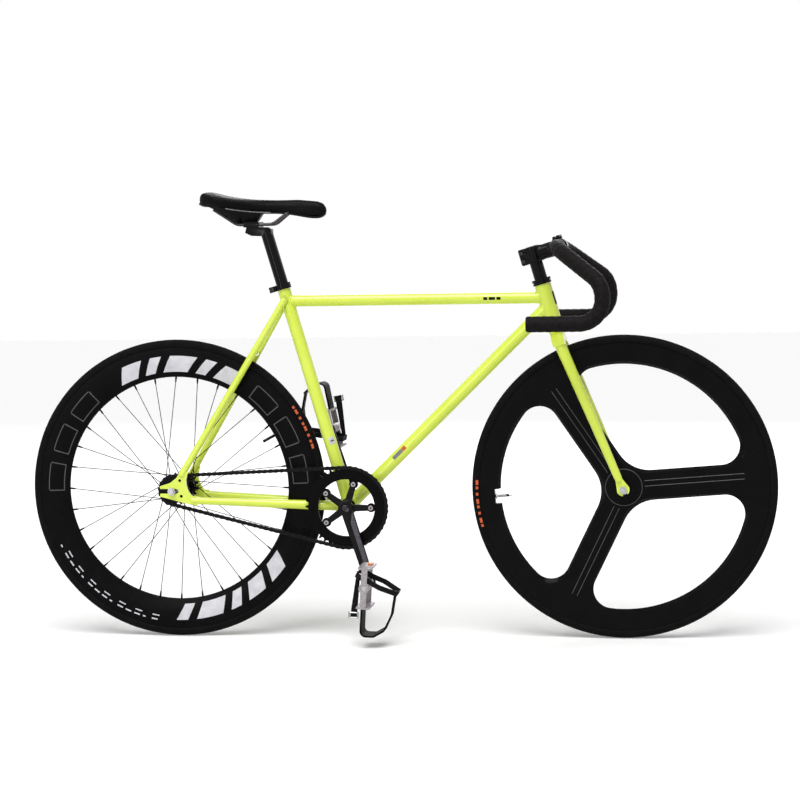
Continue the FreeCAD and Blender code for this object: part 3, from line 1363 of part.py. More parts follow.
def build_handlebar(bar):
    """A hollow track drop bar, its tape and its end plugs."""
    bends = [size("bar_shoulder_bend"), size("bar_ramp_bend"), size("bar_hook_bend")]
    over = size("cut_over")

    def whole(name, radius, extra):
        near = bar_corners(bar, 1, extra)[1:]
        far = bar_corners(bar, -1, extra)[1:]
        return bent_rod(name, near[::-1] + far, bends[::-1] + bends, radius)

    bulge = cylinder("bar_bulge", "bar_clamp_radius", "2 * bar_bulge_half", side(bar, size("-bar_bulge_half")))
    solid = fuse("handlebar", whole("bar_outer", "bar_radius", 0), bulge)
    node(cut("handlebar", solid, whole("bar_bore", "bar_radius - bar_wall", over)), "handlebar")
    sleeve = bent_rod("tape_outer", bar_corners(bar, 1, 0, size("tape_start")), bends, "tape_radius")
    inside = bar_corners(bar, 1, over, size("tape_start") - over)
    core = bent_rod("tape_bore", inside, bends, "bar_radius + fit_gap")
    tape = cut("bar_tape", sleeve, core)
    node(group("bar_tape", tape, mirrored(tape)), "bar_tape")
    end = bar_corners(bar, 1)[-1]
    plug = turned("bar_plug", along(end, end - Vector(1, 0, 0)), [
        ("0", "-plug_depth"), ("bar_radius - bar_wall - fit_gap", "-plug_depth"),
        ("bar_radius - bar_wall - fit_gap", "fit_gap"), ("tape_radius - plug_flange / 2", "fit_gap"),
        ("tape_radius - plug_flange / 2", "plug_flange"), ("0", "plug_flange")])
    node(group("bar_end_plugs", plug, mirrored(plug)), "bar_end_plugs")


def reflected(x, y):
    """A point's mirror image in the line midway between two spokes of the front wheel."""
    turn = "360 / front_spokes"
    return (f"({x}) * cos({turn}) + ({y}) * sin({turn})", f"({x}) * sin({turn}) - ({y}) * cos({turn})")


def opening(drawing, half_width, radius):
    """The rounded three-sided opening between two spokes of the front wheel."""
    corner_x = f"sqrt(({radius} - front_rim_corner)^2 - ({half_width} + front_rim_corner)^2)"
    grow = f"{radius} / ({radius} - front_rim_corner)"
    root = (f"(front_hub_corner + {half_width}) / tan(180 / front_spokes)", half_width)
    edge = (corner_x, half_width)
    rim = (f"{grow} * {corner_x}", f"{grow} * ({half_width} + front_rim_corner)")
    outline(drawing, [root, edge + ("front_rim_corner",), rim + (radius,),
                      reflected(*rim) + ("front_rim_corner",), reflected(*edge),
                      reflected(*root) + ("front_hub_corner",)])


def build_front_wheel():
    """A cast wheel: hub, three bevelled spokes and rim in one piece, with its bearings."""
    angle = size("front_spoke_angle")
    place = side(front_axle, 0, angle)
    seat = "front_hub_half_width - front_bearing_width"
    web = "front_web / 2"
    inner = "front_rim_inner_width / 2"
    outer = "rim_width / 2"
    channel = "rim_channel_width / 2"
    half = [("front_axle_radius + free_gap", seat), ("front_bearing_radius", seat),
            ("front_bearing_radius", "front_hub_half_width"), ("front_hub_step_radius", "front_hub_half_width"),
            ("front_hub_step_radius", "front_hub_half_width - front_hub_step"),
            ("front_hub_radius", "front_hub_half_width - front_hub_step"),
            ("front_hub_radius", "front_hub_flare_half_width"), ("front_hub_flare", web),
            ("front_opening_radius - front_spoke_bevel", web), ("front_opening_radius", inner),
            ("(front_opening_radius + rim_edge_radius) / 2", outer), ("rim_edge_radius", outer),
            ("rim_edge_radius", channel), ("rim_bed_radius", channel)]
    other = [(radius, f"-({height})") for radius, height in reversed(half)]
    casting = turned("front_casting", place, half + other)
    doc.recompute()
    depth = "front_hub_flare_half_width"
    narrow = f"(front_spoke_half_width - front_spoke_bevel * {depth} / ({web}))"
    wide = f"(front_opening_radius + front_spoke_bevel * {depth} / ({web}))"
    lofts = []
    for name, face in (("near", depth), ("far", f"-{depth}")):
        middle = sketch_on(casting, f"opening_{name}_middle", "XY_Plane")
        opening(middle, "front_spoke_half_width", "front_opening_radius")
        top = sketch_on(casting, f"opening_{name}_face", "XY_Plane", face)
        opening(top, narrow, wide)
        doc.recompute()
        lofts.append(loft(casting, "Subtractive", [middle, top]))
    polar(casting, lofts, middle, "front_spokes")
    valve_way = angle + 180
    notch_place = Placement(front_axle + spoke_direction(valve_way) * size("front_opening_radius"),
                            Rotation(Vector(0, 1, 0), -valve_way))
    notch = box("valve_notch", "2 * front_notch_depth", "rim_width + 2 * cut_over", "front_notch_width",
                notch_place)
    node(cut("front_wheel_casting", casting, notch, valve_hole("front", front_axle, valve_way)),
         "front_wheel_casting")
    bearing = ring("front_bearing", place, "front_axle_radius + run_gap",
                   "front_bearing_radius - fit_gap", seat, "front_hub_half_width")
    node(group("front_hub_bearings", bearing, mirrored(bearing)), "front_hub_bearings")
    build_inner_tube("front", front_axle, valve_way, "front_valve_tip_radius")

    axle = cylinder("front_axle_rod", "front_axle_radius", "front_axle_length",
                    side(front_axle, size("-front_axle_length / 2")))
    node(axle, "front_axle")
    spacer = ring("front_spacer", side(front_axle), "front_axle_radius + fit_gap", "front_nut_radius",
                  "front_hub_half_width + free_gap", "front_hub_spacing / 2")
    nut = body("front_nut", side(front_axle, size("front_hub_spacing / 2 + fork_end_thickness")))
    drawing = sketch_on(nut, "front_nut_flats", "XY_Plane")
    hexagon(drawing, "front_nut_radius")
    circle(drawing, "front_axle_radius + fit_gap")
    pad(nut, drawing, "front_nut_width")
    node(group("front_axle_nuts", spacer, mirrored(spacer), nut, mirrored(nut)), "front_axle_nuts")


def strip(name, place, shares, width):
    """A flat plastic strip bent along corners of the toe clip's side view."""
    points = [place.multVec(Vector(x * size("clip_reach"), y * size("clip_rise"), 0)) for x, y in shares]
    path = bent_path(name, points, [size("clip_bend")] * (len(points) - 2))
    section = doc.addObject("Sketcher::SketchObject", f"{name}_section")
    outline(section, [(f"-{width} / 2", "-clip_skin / 2"), (f"{width} / 2", "-clip_skin / 2"),
                      (f"{width} / 2", "clip_skin / 2"), (f"-{width} / 2", "clip_skin / 2")])
    section.Placement = Placement(points[0], Rotation(Vector(0, 1, 0), Vector(), points[1] - points[0], "ZXY"))
    sweep = doc.addObject("Part::Sweep", f"{name}_sweep")
    sweep.Sections = [section]
    sweep.Spine = (path, [f"Edge{count}" for count in range(1, len(path.Shape.Edges) + 1)])
    sweep.Solid = True
    return sweep


def build_pedal(name, crank_place, out, turn):
    """A cage pedal with its toe clip and strap; its X is the toe's way, its Y the foot's side."""
    eye = crank_place.multVec(Vector(size("crank_length"), 0, 0))
    place = side(eye, out * size("pedal_middle"), turn)
    half = "pedal_width / 2"
    barrel = cylinder(f"{name}_barrel", "pedal_barrel_radius", "pedal_width",
                      place.multiply(Placement(Vector(0, 0, -size(half)), Rotation())))
    pieces = [barrel]
    for end in (-1, 1):
        cross = Vector(end * size("(pedal_length - pedal_plate) / 2"), 0, 0)
        pieces.append(box(f"{name}_plate_{end + 1}", "pedal_plate", "pedal_depth", "pedal_width",
                          place.multiply(Placement(cross, Rotation()))))
        rail = Vector(0, 0, end * size("(pedal_width - pedal_plate) / 2"))
        pieces.append(box(f"{name}_side_{end + 1}", "pedal_length", "pedal_depth / 2", "pedal_plate",
                          place.multiply(Placement(rail, Rotation()))))
    bore = cylinder(f"{name}_bore", "pedal_spindle_radius + run_gap", "pedal_width + 2 * cut_over",
                    place.multiply(Placement(Vector(0, 0, -size(half) - size("cut_over")), Rotation())))
    node(cut(f"{name}_bored", fuse(name, *pieces), bore), name)

    clip_place = place.multiply(Placement(Vector(size("pedal_length / 2 + fit_gap"), 0, 0), Rotation()))
    clip = fuse(f"{name}_clip", strip(f"{name}_clip_bar", clip_place, CLIP_SHARES, "clip_bar_width"),
                strip(f"{name}_clip_cap", clip_place, CLIP_CAP_SHARES, "clip_cap_width"))
    node(clip, name.replace("pedal", "toe_clip"))

    lean = -math.degrees(math.atan2(size("strap_behind + strap_head_ahead"), size("clip_rise")))
    behind = Vector(-size("strap_behind"), 0, 0)
    strap_place = place.multiply(Placement(behind, Rotation(Vector(0, 0, 1), lean)))
    band = body(f"{name}_strap", strap_place)
    drawing = sketch_on(band, f"{name}_strap_loop", "YZ_Plane")
    for skin in ("0", "strap_skin"):
        rising = [(f"{up} * clip_rise + {'-' if up < 0 else ''}{skin}", f"{wide} * pedal_width + {skin}")
                  for up, wide in STRAP_SHARES]
        rising[-1] = (f"clip_rise / cos({lean}) + clip_skin + {skin}", rising[-1][1])
        outline(drawing, rising + [(up, f"-({wide})") for up, wide in reversed(rising)])
    pad(band, drawing, "strap_width", True)
    foot = strap_place.multVec(Vector(0, size(f"{STRAP_SHARES[0][0]} * clip_rise - strap_skin"), 0))
    foot = place.inverse().multVec(foot)
    tail_foot = Vector(foot.x, foot.y + size("strap_tail_width / 2"), out * size("strap_tail_offset"))
    tail_place = place.multiply(Placement(tail_foot, Rotation()))
    tail = body(f"{name}_strap_tail", tail_place)
    drawing = sketch_on(tail, f"{name}_tail_outline", "XY_Plane")
    outline(drawing, [
        ("-strap_width / 2", "-strap_tail_width / 2"),
        ("strap_tail_length", "-strap_tail_width / 2 - strap_tail_fall"),
        ("strap_tail_length", "strap_tail_width / 2 - strap_tail_fall"), ("strap_width / 2", "0")])
    pad(tail, drawing, "strap_skin", True)
    buckle_foot = Vector(size("strap_tail_length - buckle_length / 2"), -size("strap_tail_fall"),
                         out * size("strap_skin / 2 + fit_gap"))
    buckle = body(f"{name}_buckle", tail_place.multiply(Placement(buckle_foot, Rotation())))
    drawing = sketch_on(buckle, f"{name}_buckle_frame", "XY_Plane")
    for bar in ("0", "buckle_bar"):
        long, wide = f"(buckle_length / 2 - {bar})", f"(buckle_width / 2 - {bar})"
        outline(drawing, [(f"-{long}", f"-{wide}"), (long, f"-{wide}"), (long, wide), (f"-{long}", wide)])
    pad(buckle, drawing, f"{out} * buckle_thickness")
    whole = fuse(f"{name}_strap_whole", band, tail)
    node(group(name.replace("pedal", "toe_strap"), whole, buckle), name.replace("pedal", "toe_strap"))


def build_pedals(right_place, left_place):
    """Both pedals and the spindles that the cranks hold."""
    build_pedal("right_pedal", right_place, 1, size("right_pedal_rest"))
    build_pedal("left_pedal", left_place, -1, size("left_pedal_rest"))
    spindles = []
    for name, place in (("right", right_place), ("left", left_place)):
        spindle_place = place.multiply(Placement(Vector(size("crank_length"), 0, 0), Rotation()))
        end = "pedal_inner + pedal_width - pedal_plate"
        spindles.append(turned(f"{name}_spindle", spindle_place, [
            ("0", "crank_eye_inner"), ("pedal_spindle_radius", "crank_eye_inner"),
            ("pedal_spindle_radius", "crank_eye_outer + fit_gap"),
            ("pedal_barrel_radius - cut_over", "crank_eye_outer + fit_gap"),
            ("pedal_barrel_radius - cut_over", "crank_eye_outer + cut_over"),
            ("pedal_spindle_radius", "crank_eye_outer + cut_over"), ("pedal_spindle_radius", end), ("0", end)]))
    node(group("pedal_spindles", *spindles), "pedal_spindles")


def build_seat_post():
    """The collar on the seat tube, the post with its set-back head, and the clamp for the rails."""
    base = size("seat_tube_length")
    collar_place = seat_line.multiply(Placement(Vector(0, 0, base - size("collar_height")), Rotation()))
    outer = "seat_tube_radius + fit_gap + collar_wall"
    band = cylinder("collar_band", outer, "collar_height", collar_place)
    ear_centre = Vector(-size(f"({outer} + collar_ear) / 2"), 0, size("collar_height / 2"))
    ears = box("collar_ears", f"{outer} + collar_ear", "collar_ear_width", "collar_height",
               collar_place.multiply(Placement(ear_centre, Rotation())))
    hole = cylinder("collar_hole", "seat_tube_radius + fit_gap", "collar_height + 2 * cut_over",
                    collar_place.multiply(Placement(Vector(0, 0, -size("cut_over")), Rotation())))
    slot = box("collar_cut", f"2 * ({outer} + collar_ear)", "collar_slot", "collar_height + 2 * cut_over",
               collar_place.multiply(Placement(ear_centre * 2, Rotation())))
    bolt_middle = collar_place.multVec(Vector(-size(f"{outer} + collar_ear / 2"), 0, size("collar_height / 2")))
    near = bolt_middle - Vector(0, size("collar_ear_width / 2"), 0)
    far = mirror_point(near)
    bolt_hole = rod("collar_bolt_hole", far, near, "collar_bolt_radius + fit_gap")
    node(cut("seat_collar", fuse("seat_collar", band, ears), hole, slot, bolt_hole), "seat_collar")
    shaft = rod("collar_bolt_shaft", far, near, "collar_bolt_radius")
    tip = near - Vector(0, size("collar_bolt_head"), 0)
    head = rod("collar_bolt_cap", near, tip, "collar_bolt_head_radius")
    node(fuse("seat_collar_bolt", shaft, head), "seat_collar_bolt")

    top = seat_point(size("post_top"))
    foot = seat_point(base - size("post_insert"))
    post = tube("post_tube", foot, top, "post_radius", "post_wall")
    headpiece = body("post_head", side(top))
    drawing = sketch_on(headpiece, "post_head_side", "XY_Plane")
    outline(drawing, shares_of(POST_HEAD_SHARES, "post_head_length", "post_head_height"))
    pad(headpiece, drawing, "post_head_width", True)
    clamp_middle = Vector(top.x - size("post_head_length / 2"), 0, size("rail_height"))
    jaw_top = clamp_middle + Vector(0, 0, size("clamp_plate"))
    bolt_foot = clamp_middle - Vector(0, 0, size("clamp_plate + post_head_height / 2"))
    over = Vector(0, 0, size("cut_over"))
    bolt_hole = rod("clamp_bolt_hole", bolt_foot - over, jaw_top + over, "clamp_bolt_radius + fit_gap")
    node(cut("seatpost", fuse("seatpost", post, headpiece), bolt_hole), "seatpost")

    rail_reach = Vector(size("clamp_length"), 0, 0)
    spread = Vector(0, size("rail_spread"), 0)
    grooves = [rod(f"rail_groove_{sign + 1}", clamp_middle - rail_reach + spread * sign,
                   clamp_middle + rail_reach + spread * sign, "rail_radius + fit_gap") for sign in (-1, 1)]
    jaws = []
    for name, sign in (("lower", -1), ("upper", 1)):
        middle = clamp_middle + Vector(0, 0, sign * size("(clamp_plate + free_gap) / 2"))
        jaw = box(f"{name}_jaw", "clamp_length", "2 * rail_spread + 4 * rail_radius", "clamp_plate - free_gap",
                  Placement(middle, Rotation()))
        jaws.append(cut(f"{name}_jaw", jaw, bolt_hole, *grooves))
    bolt_top = jaw_top + Vector(0, 0, size("clamp_bolt_head"))
    bolt_head = rod("clamp_bolt_cap", jaw_top, bolt_top, "clamp_bolt_head_radius")
    bolt_shaft = rod("clamp_bolt_shaft", bolt_foot, jaw_top, "clamp_bolt_radius")
    node(group("rail_clamp", *jaws, fuse("clamp_bolt", bolt_head, bolt_shaft)), "rail_clamp")


def saddle_sections(part, name, width_share, low, high):
    """Cross-sections of the saddle: drawn-in sides under a crowned top, or a flat shell under them."""
    drawings = []
    for count, (along_share, wide, top, crown, skirt) in enumerate(SADDLE_SHARES):
        drawing = sketch_on(part, f"{name}_{count}", "YZ_Plane", f"{along_share} * saddle_length")
        half = f"{wide} * saddle_width / 2"
        floor = f"{skirt} * saddle_rise + {low}"
        if high:
            roof = f"{skirt} * saddle_rise + {high}"
            outline(drawing, [(f"{width_share} * {half}", floor), (f"{width_share} * {half}", roof),
                              (f"-{width_share} * {half}", roof), (f"-{width_share} * {half}", floor)])
        else:
            crown_rise = f"({crown} * saddle_rise)"
            brow = f"{top} * saddle_rise - {crown_rise}"
            bend = f"(({half})^2 + {crown_rise}^2) / (2 * {crown_rise})"
            outline(drawing, [(f"{width_share} * {half}", floor), (half, brow, bend), (f"-{half}", brow),
                              (f"-{width_share} * {half}", floor)])
        drawings.append(drawing)
    return drawings


def build_saddle():
    """The padded cover, the shell under it and the two rails."""
    place = Placement(Vector(size("saddle_tail_x"), 0, size("saddle_seam_height")), Rotation())
    cover = body("saddle_cover_body", place)
    loft(cover, "Additive", saddle_sections(cover, "cover", SKIRT_WIDTH_SHARE, "0", None))
    node(cover, "saddle_cover")
    base = body("saddle_base_body", place)
    sections = saddle_sections(base, "base", BASE_WIDTH_SHARE, "-saddle_base_thickness", "-free_gap")
    loft(base, "Additive", sections)
    node(base, "saddle_base")
    rails = []
    for name, sign in (("right", -1), ("left", 1)):
        corners = [place.multVec(Vector(x * size("saddle_length"), sign * y * size("rail_spread"),
                                        z * size("rail_fall"))) for x, z, y in RAIL_SHARES]
        bar = bent_rod(f"{name}_rail", corners, [size("rail_bend")] * (len(corners) - 2), "rail_radius")
        rails.append(cut(f"{name}_rail", bar, base, cover))
    node(group("saddle_rails", *rails), "saddle_rails")


def main():
    """Builds every sub-part, checks them all and writes their files."""
    shell_solid, seat_solid = build_frame_tubes()
    build_stays(shell_solid, seat_solid)
    build_bottom_bracket()
    build_rear_axle()
    build_rear_hub()
    build_rear_rim()
    build_tyre("rear", rear_axle)
    build_tyre("front", front_axle)
    build_inner_tube("rear", rear_axle, size("rear_valve_angle"), "rear_valve_tip_radius")
    build_spokes()
    build_cogs()
    build_chain()
    build_chainring()
    right_place, left_place = build_cranks()
    build_pedals(right_place, left_place)
    build_headset_and_fork()
    build_handlebar(build_stem())
    build_front_wheel()
    build_seat_post()
    build_saddle()
    doc.recompute()
    write_parts()


def write_parts():
    """Stops on a failed object or shape, and otherwise writes each sub-part's file."""
    for thing in doc.Objects:
        if "Invalid" in thing.State or "Error" in thing.State:
            raise RuntimeError(f"{thing.Label}: {thing.State} {thing.getStatusString()}")
    for label, thing in nodes.items():
        shape = thing.Shape
        if shape.isNull() or not shape.isValid() or not shape.Solids:
            raise RuntimeError(f"{label} has no valid solid")
        print(f"{label:22s} solids {len(shape.Solids):3d} volume {shape.Volume:10.0f}")
    os.makedirs("parts", exist_ok=True)
    for label, thing in nodes.items():
        thing.Shape.exportStep(f"parts/{label}.step")


main()
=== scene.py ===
"""Looks of a fixed gear bicycle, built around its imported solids.

Lengths are in millimetres and angles in degrees unless said.
"""
import json
import math
from bisect import bisect_right

import bmesh
import bpy
from mathutils import Matrix, Vector


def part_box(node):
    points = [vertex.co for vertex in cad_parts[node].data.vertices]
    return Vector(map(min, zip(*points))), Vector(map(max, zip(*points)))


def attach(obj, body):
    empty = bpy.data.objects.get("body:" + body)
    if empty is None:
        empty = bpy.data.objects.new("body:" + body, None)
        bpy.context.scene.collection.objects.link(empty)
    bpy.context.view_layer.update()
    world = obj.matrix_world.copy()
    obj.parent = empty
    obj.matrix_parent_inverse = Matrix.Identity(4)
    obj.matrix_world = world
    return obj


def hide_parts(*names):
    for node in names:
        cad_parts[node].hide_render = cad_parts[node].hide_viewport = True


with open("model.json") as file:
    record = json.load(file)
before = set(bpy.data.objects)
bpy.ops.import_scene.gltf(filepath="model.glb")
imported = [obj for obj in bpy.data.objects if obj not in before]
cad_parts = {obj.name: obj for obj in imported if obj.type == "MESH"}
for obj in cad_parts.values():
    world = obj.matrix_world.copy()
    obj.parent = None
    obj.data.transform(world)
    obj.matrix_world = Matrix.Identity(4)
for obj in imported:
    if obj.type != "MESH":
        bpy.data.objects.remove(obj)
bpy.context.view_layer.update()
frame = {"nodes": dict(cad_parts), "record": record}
nodes = frame["nodes"]
scene = bpy.context.scene
MM = 0.001
TURN = 2 * math.pi
SIDES = (-1, 1)
AHEAD = Vector((1, 0, 0))
ACROSS = Vector((0, 1, 0))
SQUARE = ((-1, -1), (1, -1), (1, 1), (-1, 1))

# Places and sizes of the solids
TYRE_RADIUS = 334
TYRE_HALF = 11.5
HALF_BASE = 498
REAR = Vector((-HALF_BASE, 0, TYRE_RADIUS))
FRONT = Vector((HALF_BASE, 0, TYRE_RADIUS))
BRACKET = Vector((-110.4122, 0, 294.5))
LEAN = math.radians(74)
RAKE = 43
UP_LINE = Vector((-math.cos(LEAN), 0, math.sin(LEAN)))
STEER_FOOT = Vector((HALF_BASE - RAKE / math.sin(LEAN), 0, TYRE_RADIUS))
TOP_TUBE = 750.5
DOWN_TUBE = 733
TOP_RADIUS = 12.7
SEAT_RADIUS = 14.3
DOWN_RADIUS = 14.3
HEAD_RADIUS = 18
SHELL_RADIUS = 20
CHAIN_LINE = -46
PITCH = 12.7
CRANK_WAY = 288
CRANK = 170
PEDAL_REST = {-1: 266, 1: 101}


def polar(angle, reach, depth=0):
    """A point round a wheel, from straight ahead, moved along Y."""
    turn = math.radians(angle)
    return Vector((reach * math.cos(turn), depth, reach * math.sin(turn)))


def square_to(way):
    """A way made one long, and two ways square to it and to each other."""
    way = way.normalized()
    across = way.orthogonal().normalized()
    return way, across, way.cross(across)


def spin(first, second, turn):
    """A way turned, in radians, from a first way towards a second."""
    return first * math.cos(turn) + second * math.sin(turn)


def circle(centre, across, other, radius, sides):
    """Points round a centre, from one way towards another."""
    return [centre + spin(across, other, TURN * k / sides) * radius for k in range(sides)]


def soft_square(turn, half_wide, half_high, power):
    """The two lengths of a point on a rectangle with rounded corners."""
    x, y = math.cos(turn), math.sin(turn)
    return (half_wide * math.copysign(abs(x) ** power, x),
            half_high * math.copysign(abs(y) ** power, y))


def on_line(foot, height):
    """The point of a leaning tube at a height."""
    return foot + UP_LINE * ((height - foot.z) / UP_LINE.z)


def corners(node):
    """The lowest and the highest corner of a node."""
    return [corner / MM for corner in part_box(node)]


def set_all(thing, **settings):
    """Sets some attributes of a thing."""
    for key, value in settings.items():
        setattr(thing, key, value)


def add_modifier(thing, kind, **settings):
    set_all(thing.modifiers.new(kind.lower(), kind), **settings)


def add_object(name, data):
    made = bpy.data.objects.new(name, data)
    scene.collection.objects.link(made)
    return made


def add_node(tree, kind, **inputs):
    """A shader node with some inputs set."""
    made = tree.nodes.new("ShaderNode" + kind)
    for key, value in inputs.items():
        made.inputs[key.replace("_", " ").title()].default_value = value
    return made


# Materials

# The part of a noise's range that carries most of it
DRIFT = (0.3, 0.7)


def linear(*colour):
    """A colour of 0 to 255, as a picture shows it, in linear light."""
    share = [value / 255 for value in colour]
    return [v / 12.92 if v <= 0.04045 else ((v + 0.055) / 1.055) ** 2.4 for v in share] + [1]


class Finish:
    """A material whose colour and roughness drift by noise, with relief on top."""

    def __init__(self, name, dark, pale, rough, scale, sockets, *reliefs):
        self.material = bpy.data.materials.new(name)
        self.material.use_nodes = True
        self.tree = self.material.node_tree
        self.shader = self.tree.nodes["Principled BSDF"]
        self.place = self.node("TexCoord").outputs["Object"]
        for socket, value in sockets.items():
            self.shader.inputs[socket].default_value = value
        colour = self.ramp(self.noise(scale, 5.0), linear(*dark), linear(*pale))
        self.link(colour, self.shader.inputs["Base Color"])
        roughness = self.spread(self.noise(scale * 2.3), *rough)
        self.link(roughness, self.shader.inputs["Roughness"])
        self.normal = None
        for relief in reliefs:
            self.relief(*relief)

    def node(self, kind, **inputs):
        return add_node(self.tree, kind, **inputs)

    def link(self, start, end):
        self.tree.links.new(start, end)

    def stretched(self, scale):
        mapping = self.node("Mapping", scale=scale)
        self.link(self.place, mapping.inputs["Vector"])
        return mapping.outputs["Vector"]

    def noise(self, scale, detail=3.0, place=None):
        made = self.node("TexNoise", scale=scale, detail=detail)
        self.link(place or self.place, made.inputs["Vector"])
        return made.outputs["Fac"]

    def cells(self, scale, feature):
        made = self.node("TexVoronoi", scale=scale)
        made.feature = feature
        self.link(self.place, made.inputs["Vector"])
        return made.outputs["Distance"]

    def wave(self, scale, way):
        made = self.node("TexWave", scale=scale)
        made.bands_direction = way
        self.link(self.place, made.inputs["Vector"])
        return made.outputs["Fac"]

    def ramp(self, value, low, high):
        made = self.node("ValToRGB")
        for element, position, colour in zip(made.color_ramp.elements, DRIFT, (low, high)):
            element.position = position
            element.color = colour
        self.link(value, made.inputs["Fac"])
        return made.outputs["Color"]

    def spread(self, value, low, high):
        made = self.node("MapRange", from_min=DRIFT[0], from_max=DRIFT[1], to_min=low, to_max=high)
        self.link(value, made.inputs["Value"])
        return made.outputs["Result"]

    def product(self, first, second):
        made = self.node("Math")
        made.operation = "MULTIPLY"
        self.link(first, made.inputs[0])
        self.link(second, made.inputs[1])
        return made.outputs["Value"]

    def height(self, kind, scale, stretch):
        """The heights of one kind of relief."""
        if kind == "cells":
            return self.cells(scale, "F1")
        if kind == "soft cells":
            return self.cells(scale, "SMOOTH_F1")
        if kind == "ribs":
            return self.wave(scale, "X")
        if kind == "weave":
            return self.product(self.wave(scale, "DIAGONAL"), self.wave(scale, "Y"))
        detail = 6.0 if kind == "fine noise" else 3.0
        return self.noise(scale, detail, self.stretched(stretch) if stretch else None)

    def relief(self, kind, scale, depth, strength, stretch=None):
        """Adds relief of a depth over the relief that is there."""
        made = self.node("Bump", strength=strength, distance=depth * MM)
        self.link(self.height(kind, scale, stretch), made.inputs["Height"])
        if self.normal:
            self.link(self.normal, made.inputs["Normal"])
        self.normal = made.outputs["Normal"]
        self.link(self.normal, self.shader.inputs["Normal"])


GLOSS = "Specular IOR Level"
# Name, dark and pale colour, least and most roughness, scale of the drift, shader sockets,
# and the reliefs: kind, scale, depth, strength and stretch
FINISH_ROWS = (
    ("yellow_paint", (205, 224, 58), (217, 235, 80), (0.16, 0.26), 7,
     {"Coat Weight": 0.5, "Coat Roughness": 0.06}, ("noise", 420, 0.012, 0.2)),
    ("black_alloy", (8, 7, 8), (12, 11, 12), (0.1, 0.16), 90,
     {GLOSS: 0.12}, ("noise", 300, 0.004, 0.12)),
    ("black_rim", (6, 5, 6), (10, 9, 10), (0.24, 0.34), 40,
     {GLOSS: 0.05}, ("noise", 1500, 0.03, 0.3)),
    ("crank_alloy", (11, 10, 12), (17, 15, 18), (0.16, 0.24), 120,
     {GLOSS: 0.12}, ("noise", 900, 0.03, 0.3, (1, 1, 6))),
    # Painted highlight: a pale grey that stands in for light on the cranks' bevels
    ("painted_highlight_grey", (62, 58, 64), (80, 76, 82), (0.24, 0.34), 120,
     {"Metallic": 0.3}, ("noise", 900, 0.03, 0.3, (1, 1, 6))),
    ("clip_black", (8, 7, 8), (12, 11, 12), (0.5, 0.62), 180,
     {GLOSS: 0.03}, ("cells", 1600, 0.05, 0.4)),
    ("black_steel", (11, 10, 10), (18, 17, 17), (0.3, 0.44), 160,
     {GLOSS: 0.09}, ("noise", 1800, 0.05, 0.4)),
    ("bright_steel", (168, 168, 172), (206, 206, 208), (0.18, 0.34), 220,
     {"Metallic": 1.0}, ("noise", 700, 0.02, 0.4, (1, 14, 1))),
    ("rail_steel", (50, 47, 48), (74, 70, 71), (0.2, 0.3), 220,
     {"Metallic": 0.9}, ("noise", 700, 0.02, 0.4, (14, 1, 1))),
    ("grey_alloy", (138, 132, 136), (172, 165, 170), (0.34, 0.5), 200,
     {"Metallic": 0.5}, ("noise", 2200, 0.06, 0.5)),
    ("black_composite", (8, 7, 8), (12, 11, 12), (0.2, 0.3), 24,
     {GLOSS: 0.06}, ("noise", 1200, 0.03, 0.3)),
    ("black_plastic", (11, 10, 11), (17, 16, 17), (0.36, 0.5), 180,
     {GLOSS: 0.09}, ("cells", 1600, 0.06, 0.4)),
    ("tyre_rubber", (11, 10, 10), (17, 16, 16), (0.6, 0.78), 70,
     {GLOSS: 0.05}, ("cells", 700, 0.12, 0.6)),
    ("tube_rubber", (18, 17, 17), (26, 25, 25), (0.6, 0.75), 90,
     {GLOSS: 0.25}, ("noise", 900, 0.08, 0.5)),
    ("bar_wrap", (17, 15, 15), (27, 24, 24), (0.5, 0.68), 140,
     {GLOSS: 0.06}, ("fine noise", 900, 0.18, 0.6), ("cells", 330, 0.25, 0.4)),
    ("saddle_skin", (10, 9, 10), (16, 15, 16), (0.34, 0.48), 60,
     {GLOSS: 0.05}, ("soft cells", 900, 0.14, 0.5), ("noise", 260, 0.1, 0.3)),
    ("strap_web", (11, 10, 11), (20, 19, 20), (0.7, 0.9), 300,
     {"Sheen Weight": 0.05, GLOSS: 0.1}, ("weave", 420, 0.3, 0.8)),
    ("piping", (96, 94, 96), (132, 130, 132), (0.45, 0.6), 300,
     {}, ("ribs", 700, 0.1, 0.5)),
    ("pale_mark", (190, 189, 196), (212, 211, 216), (0.35, 0.5), 60,
     {}, ("noise", 900, 0.02, 0.3)),
    # Grey for print on the rim and labels, and for the painted highlight lines on the cast wheel
    ("grey_print_and_highlight", (52, 50, 52), (70, 68, 70), (0.35, 0.5), 60,
     {}, ("noise", 900, 0.02, 0.3)),
    ("orange_mark", (176, 70, 26), (206, 90, 36), (0.5, 0.7), 200,
     {}, ("noise", 1200, 0.04, 0.4)),
    ("amber_lens", (214, 104, 20), (236, 132, 36), (0.1, 0.2), 150,
     {"Coat Weight": 0.6}, ("cells", 420, 0.35, 0.8)),
)

# One finish for each material slot, and a few for small pieces
FINISHES = {row[0]: Finish(*row).material for row in FINISH_ROWS}


# Nodes with another finish than their slot's
OWN_FINISH = {
    "rear_rim": "black_rim", "right_crank": "crank_alloy", "left_crank": "crank_alloy",
    # The headset bearings take black steel as painted shade in the narrow gap between cup and cone
    "saddle_rails": "rail_steel", "headset_bearings": "black_steel",
    "seat_collar_bolt": "black_steel", "stem_bolts": "rail_steel", "chainring": "black_rim",
    "chainring_bolts": "rail_steel", "right_toe_clip": "clip_black", "left_toe_clip": "clip_black",
}
# Forged nodes, with the passes that round their edges
FORGED = {"stem": 60, "stem_faceplate": 8, "right_crank": 5, "left_crank": 5}
FORGED_VOXEL = 1.1 * MM
SAME_POINT = 0.01 * MM
CRISP_ANGLE = 32


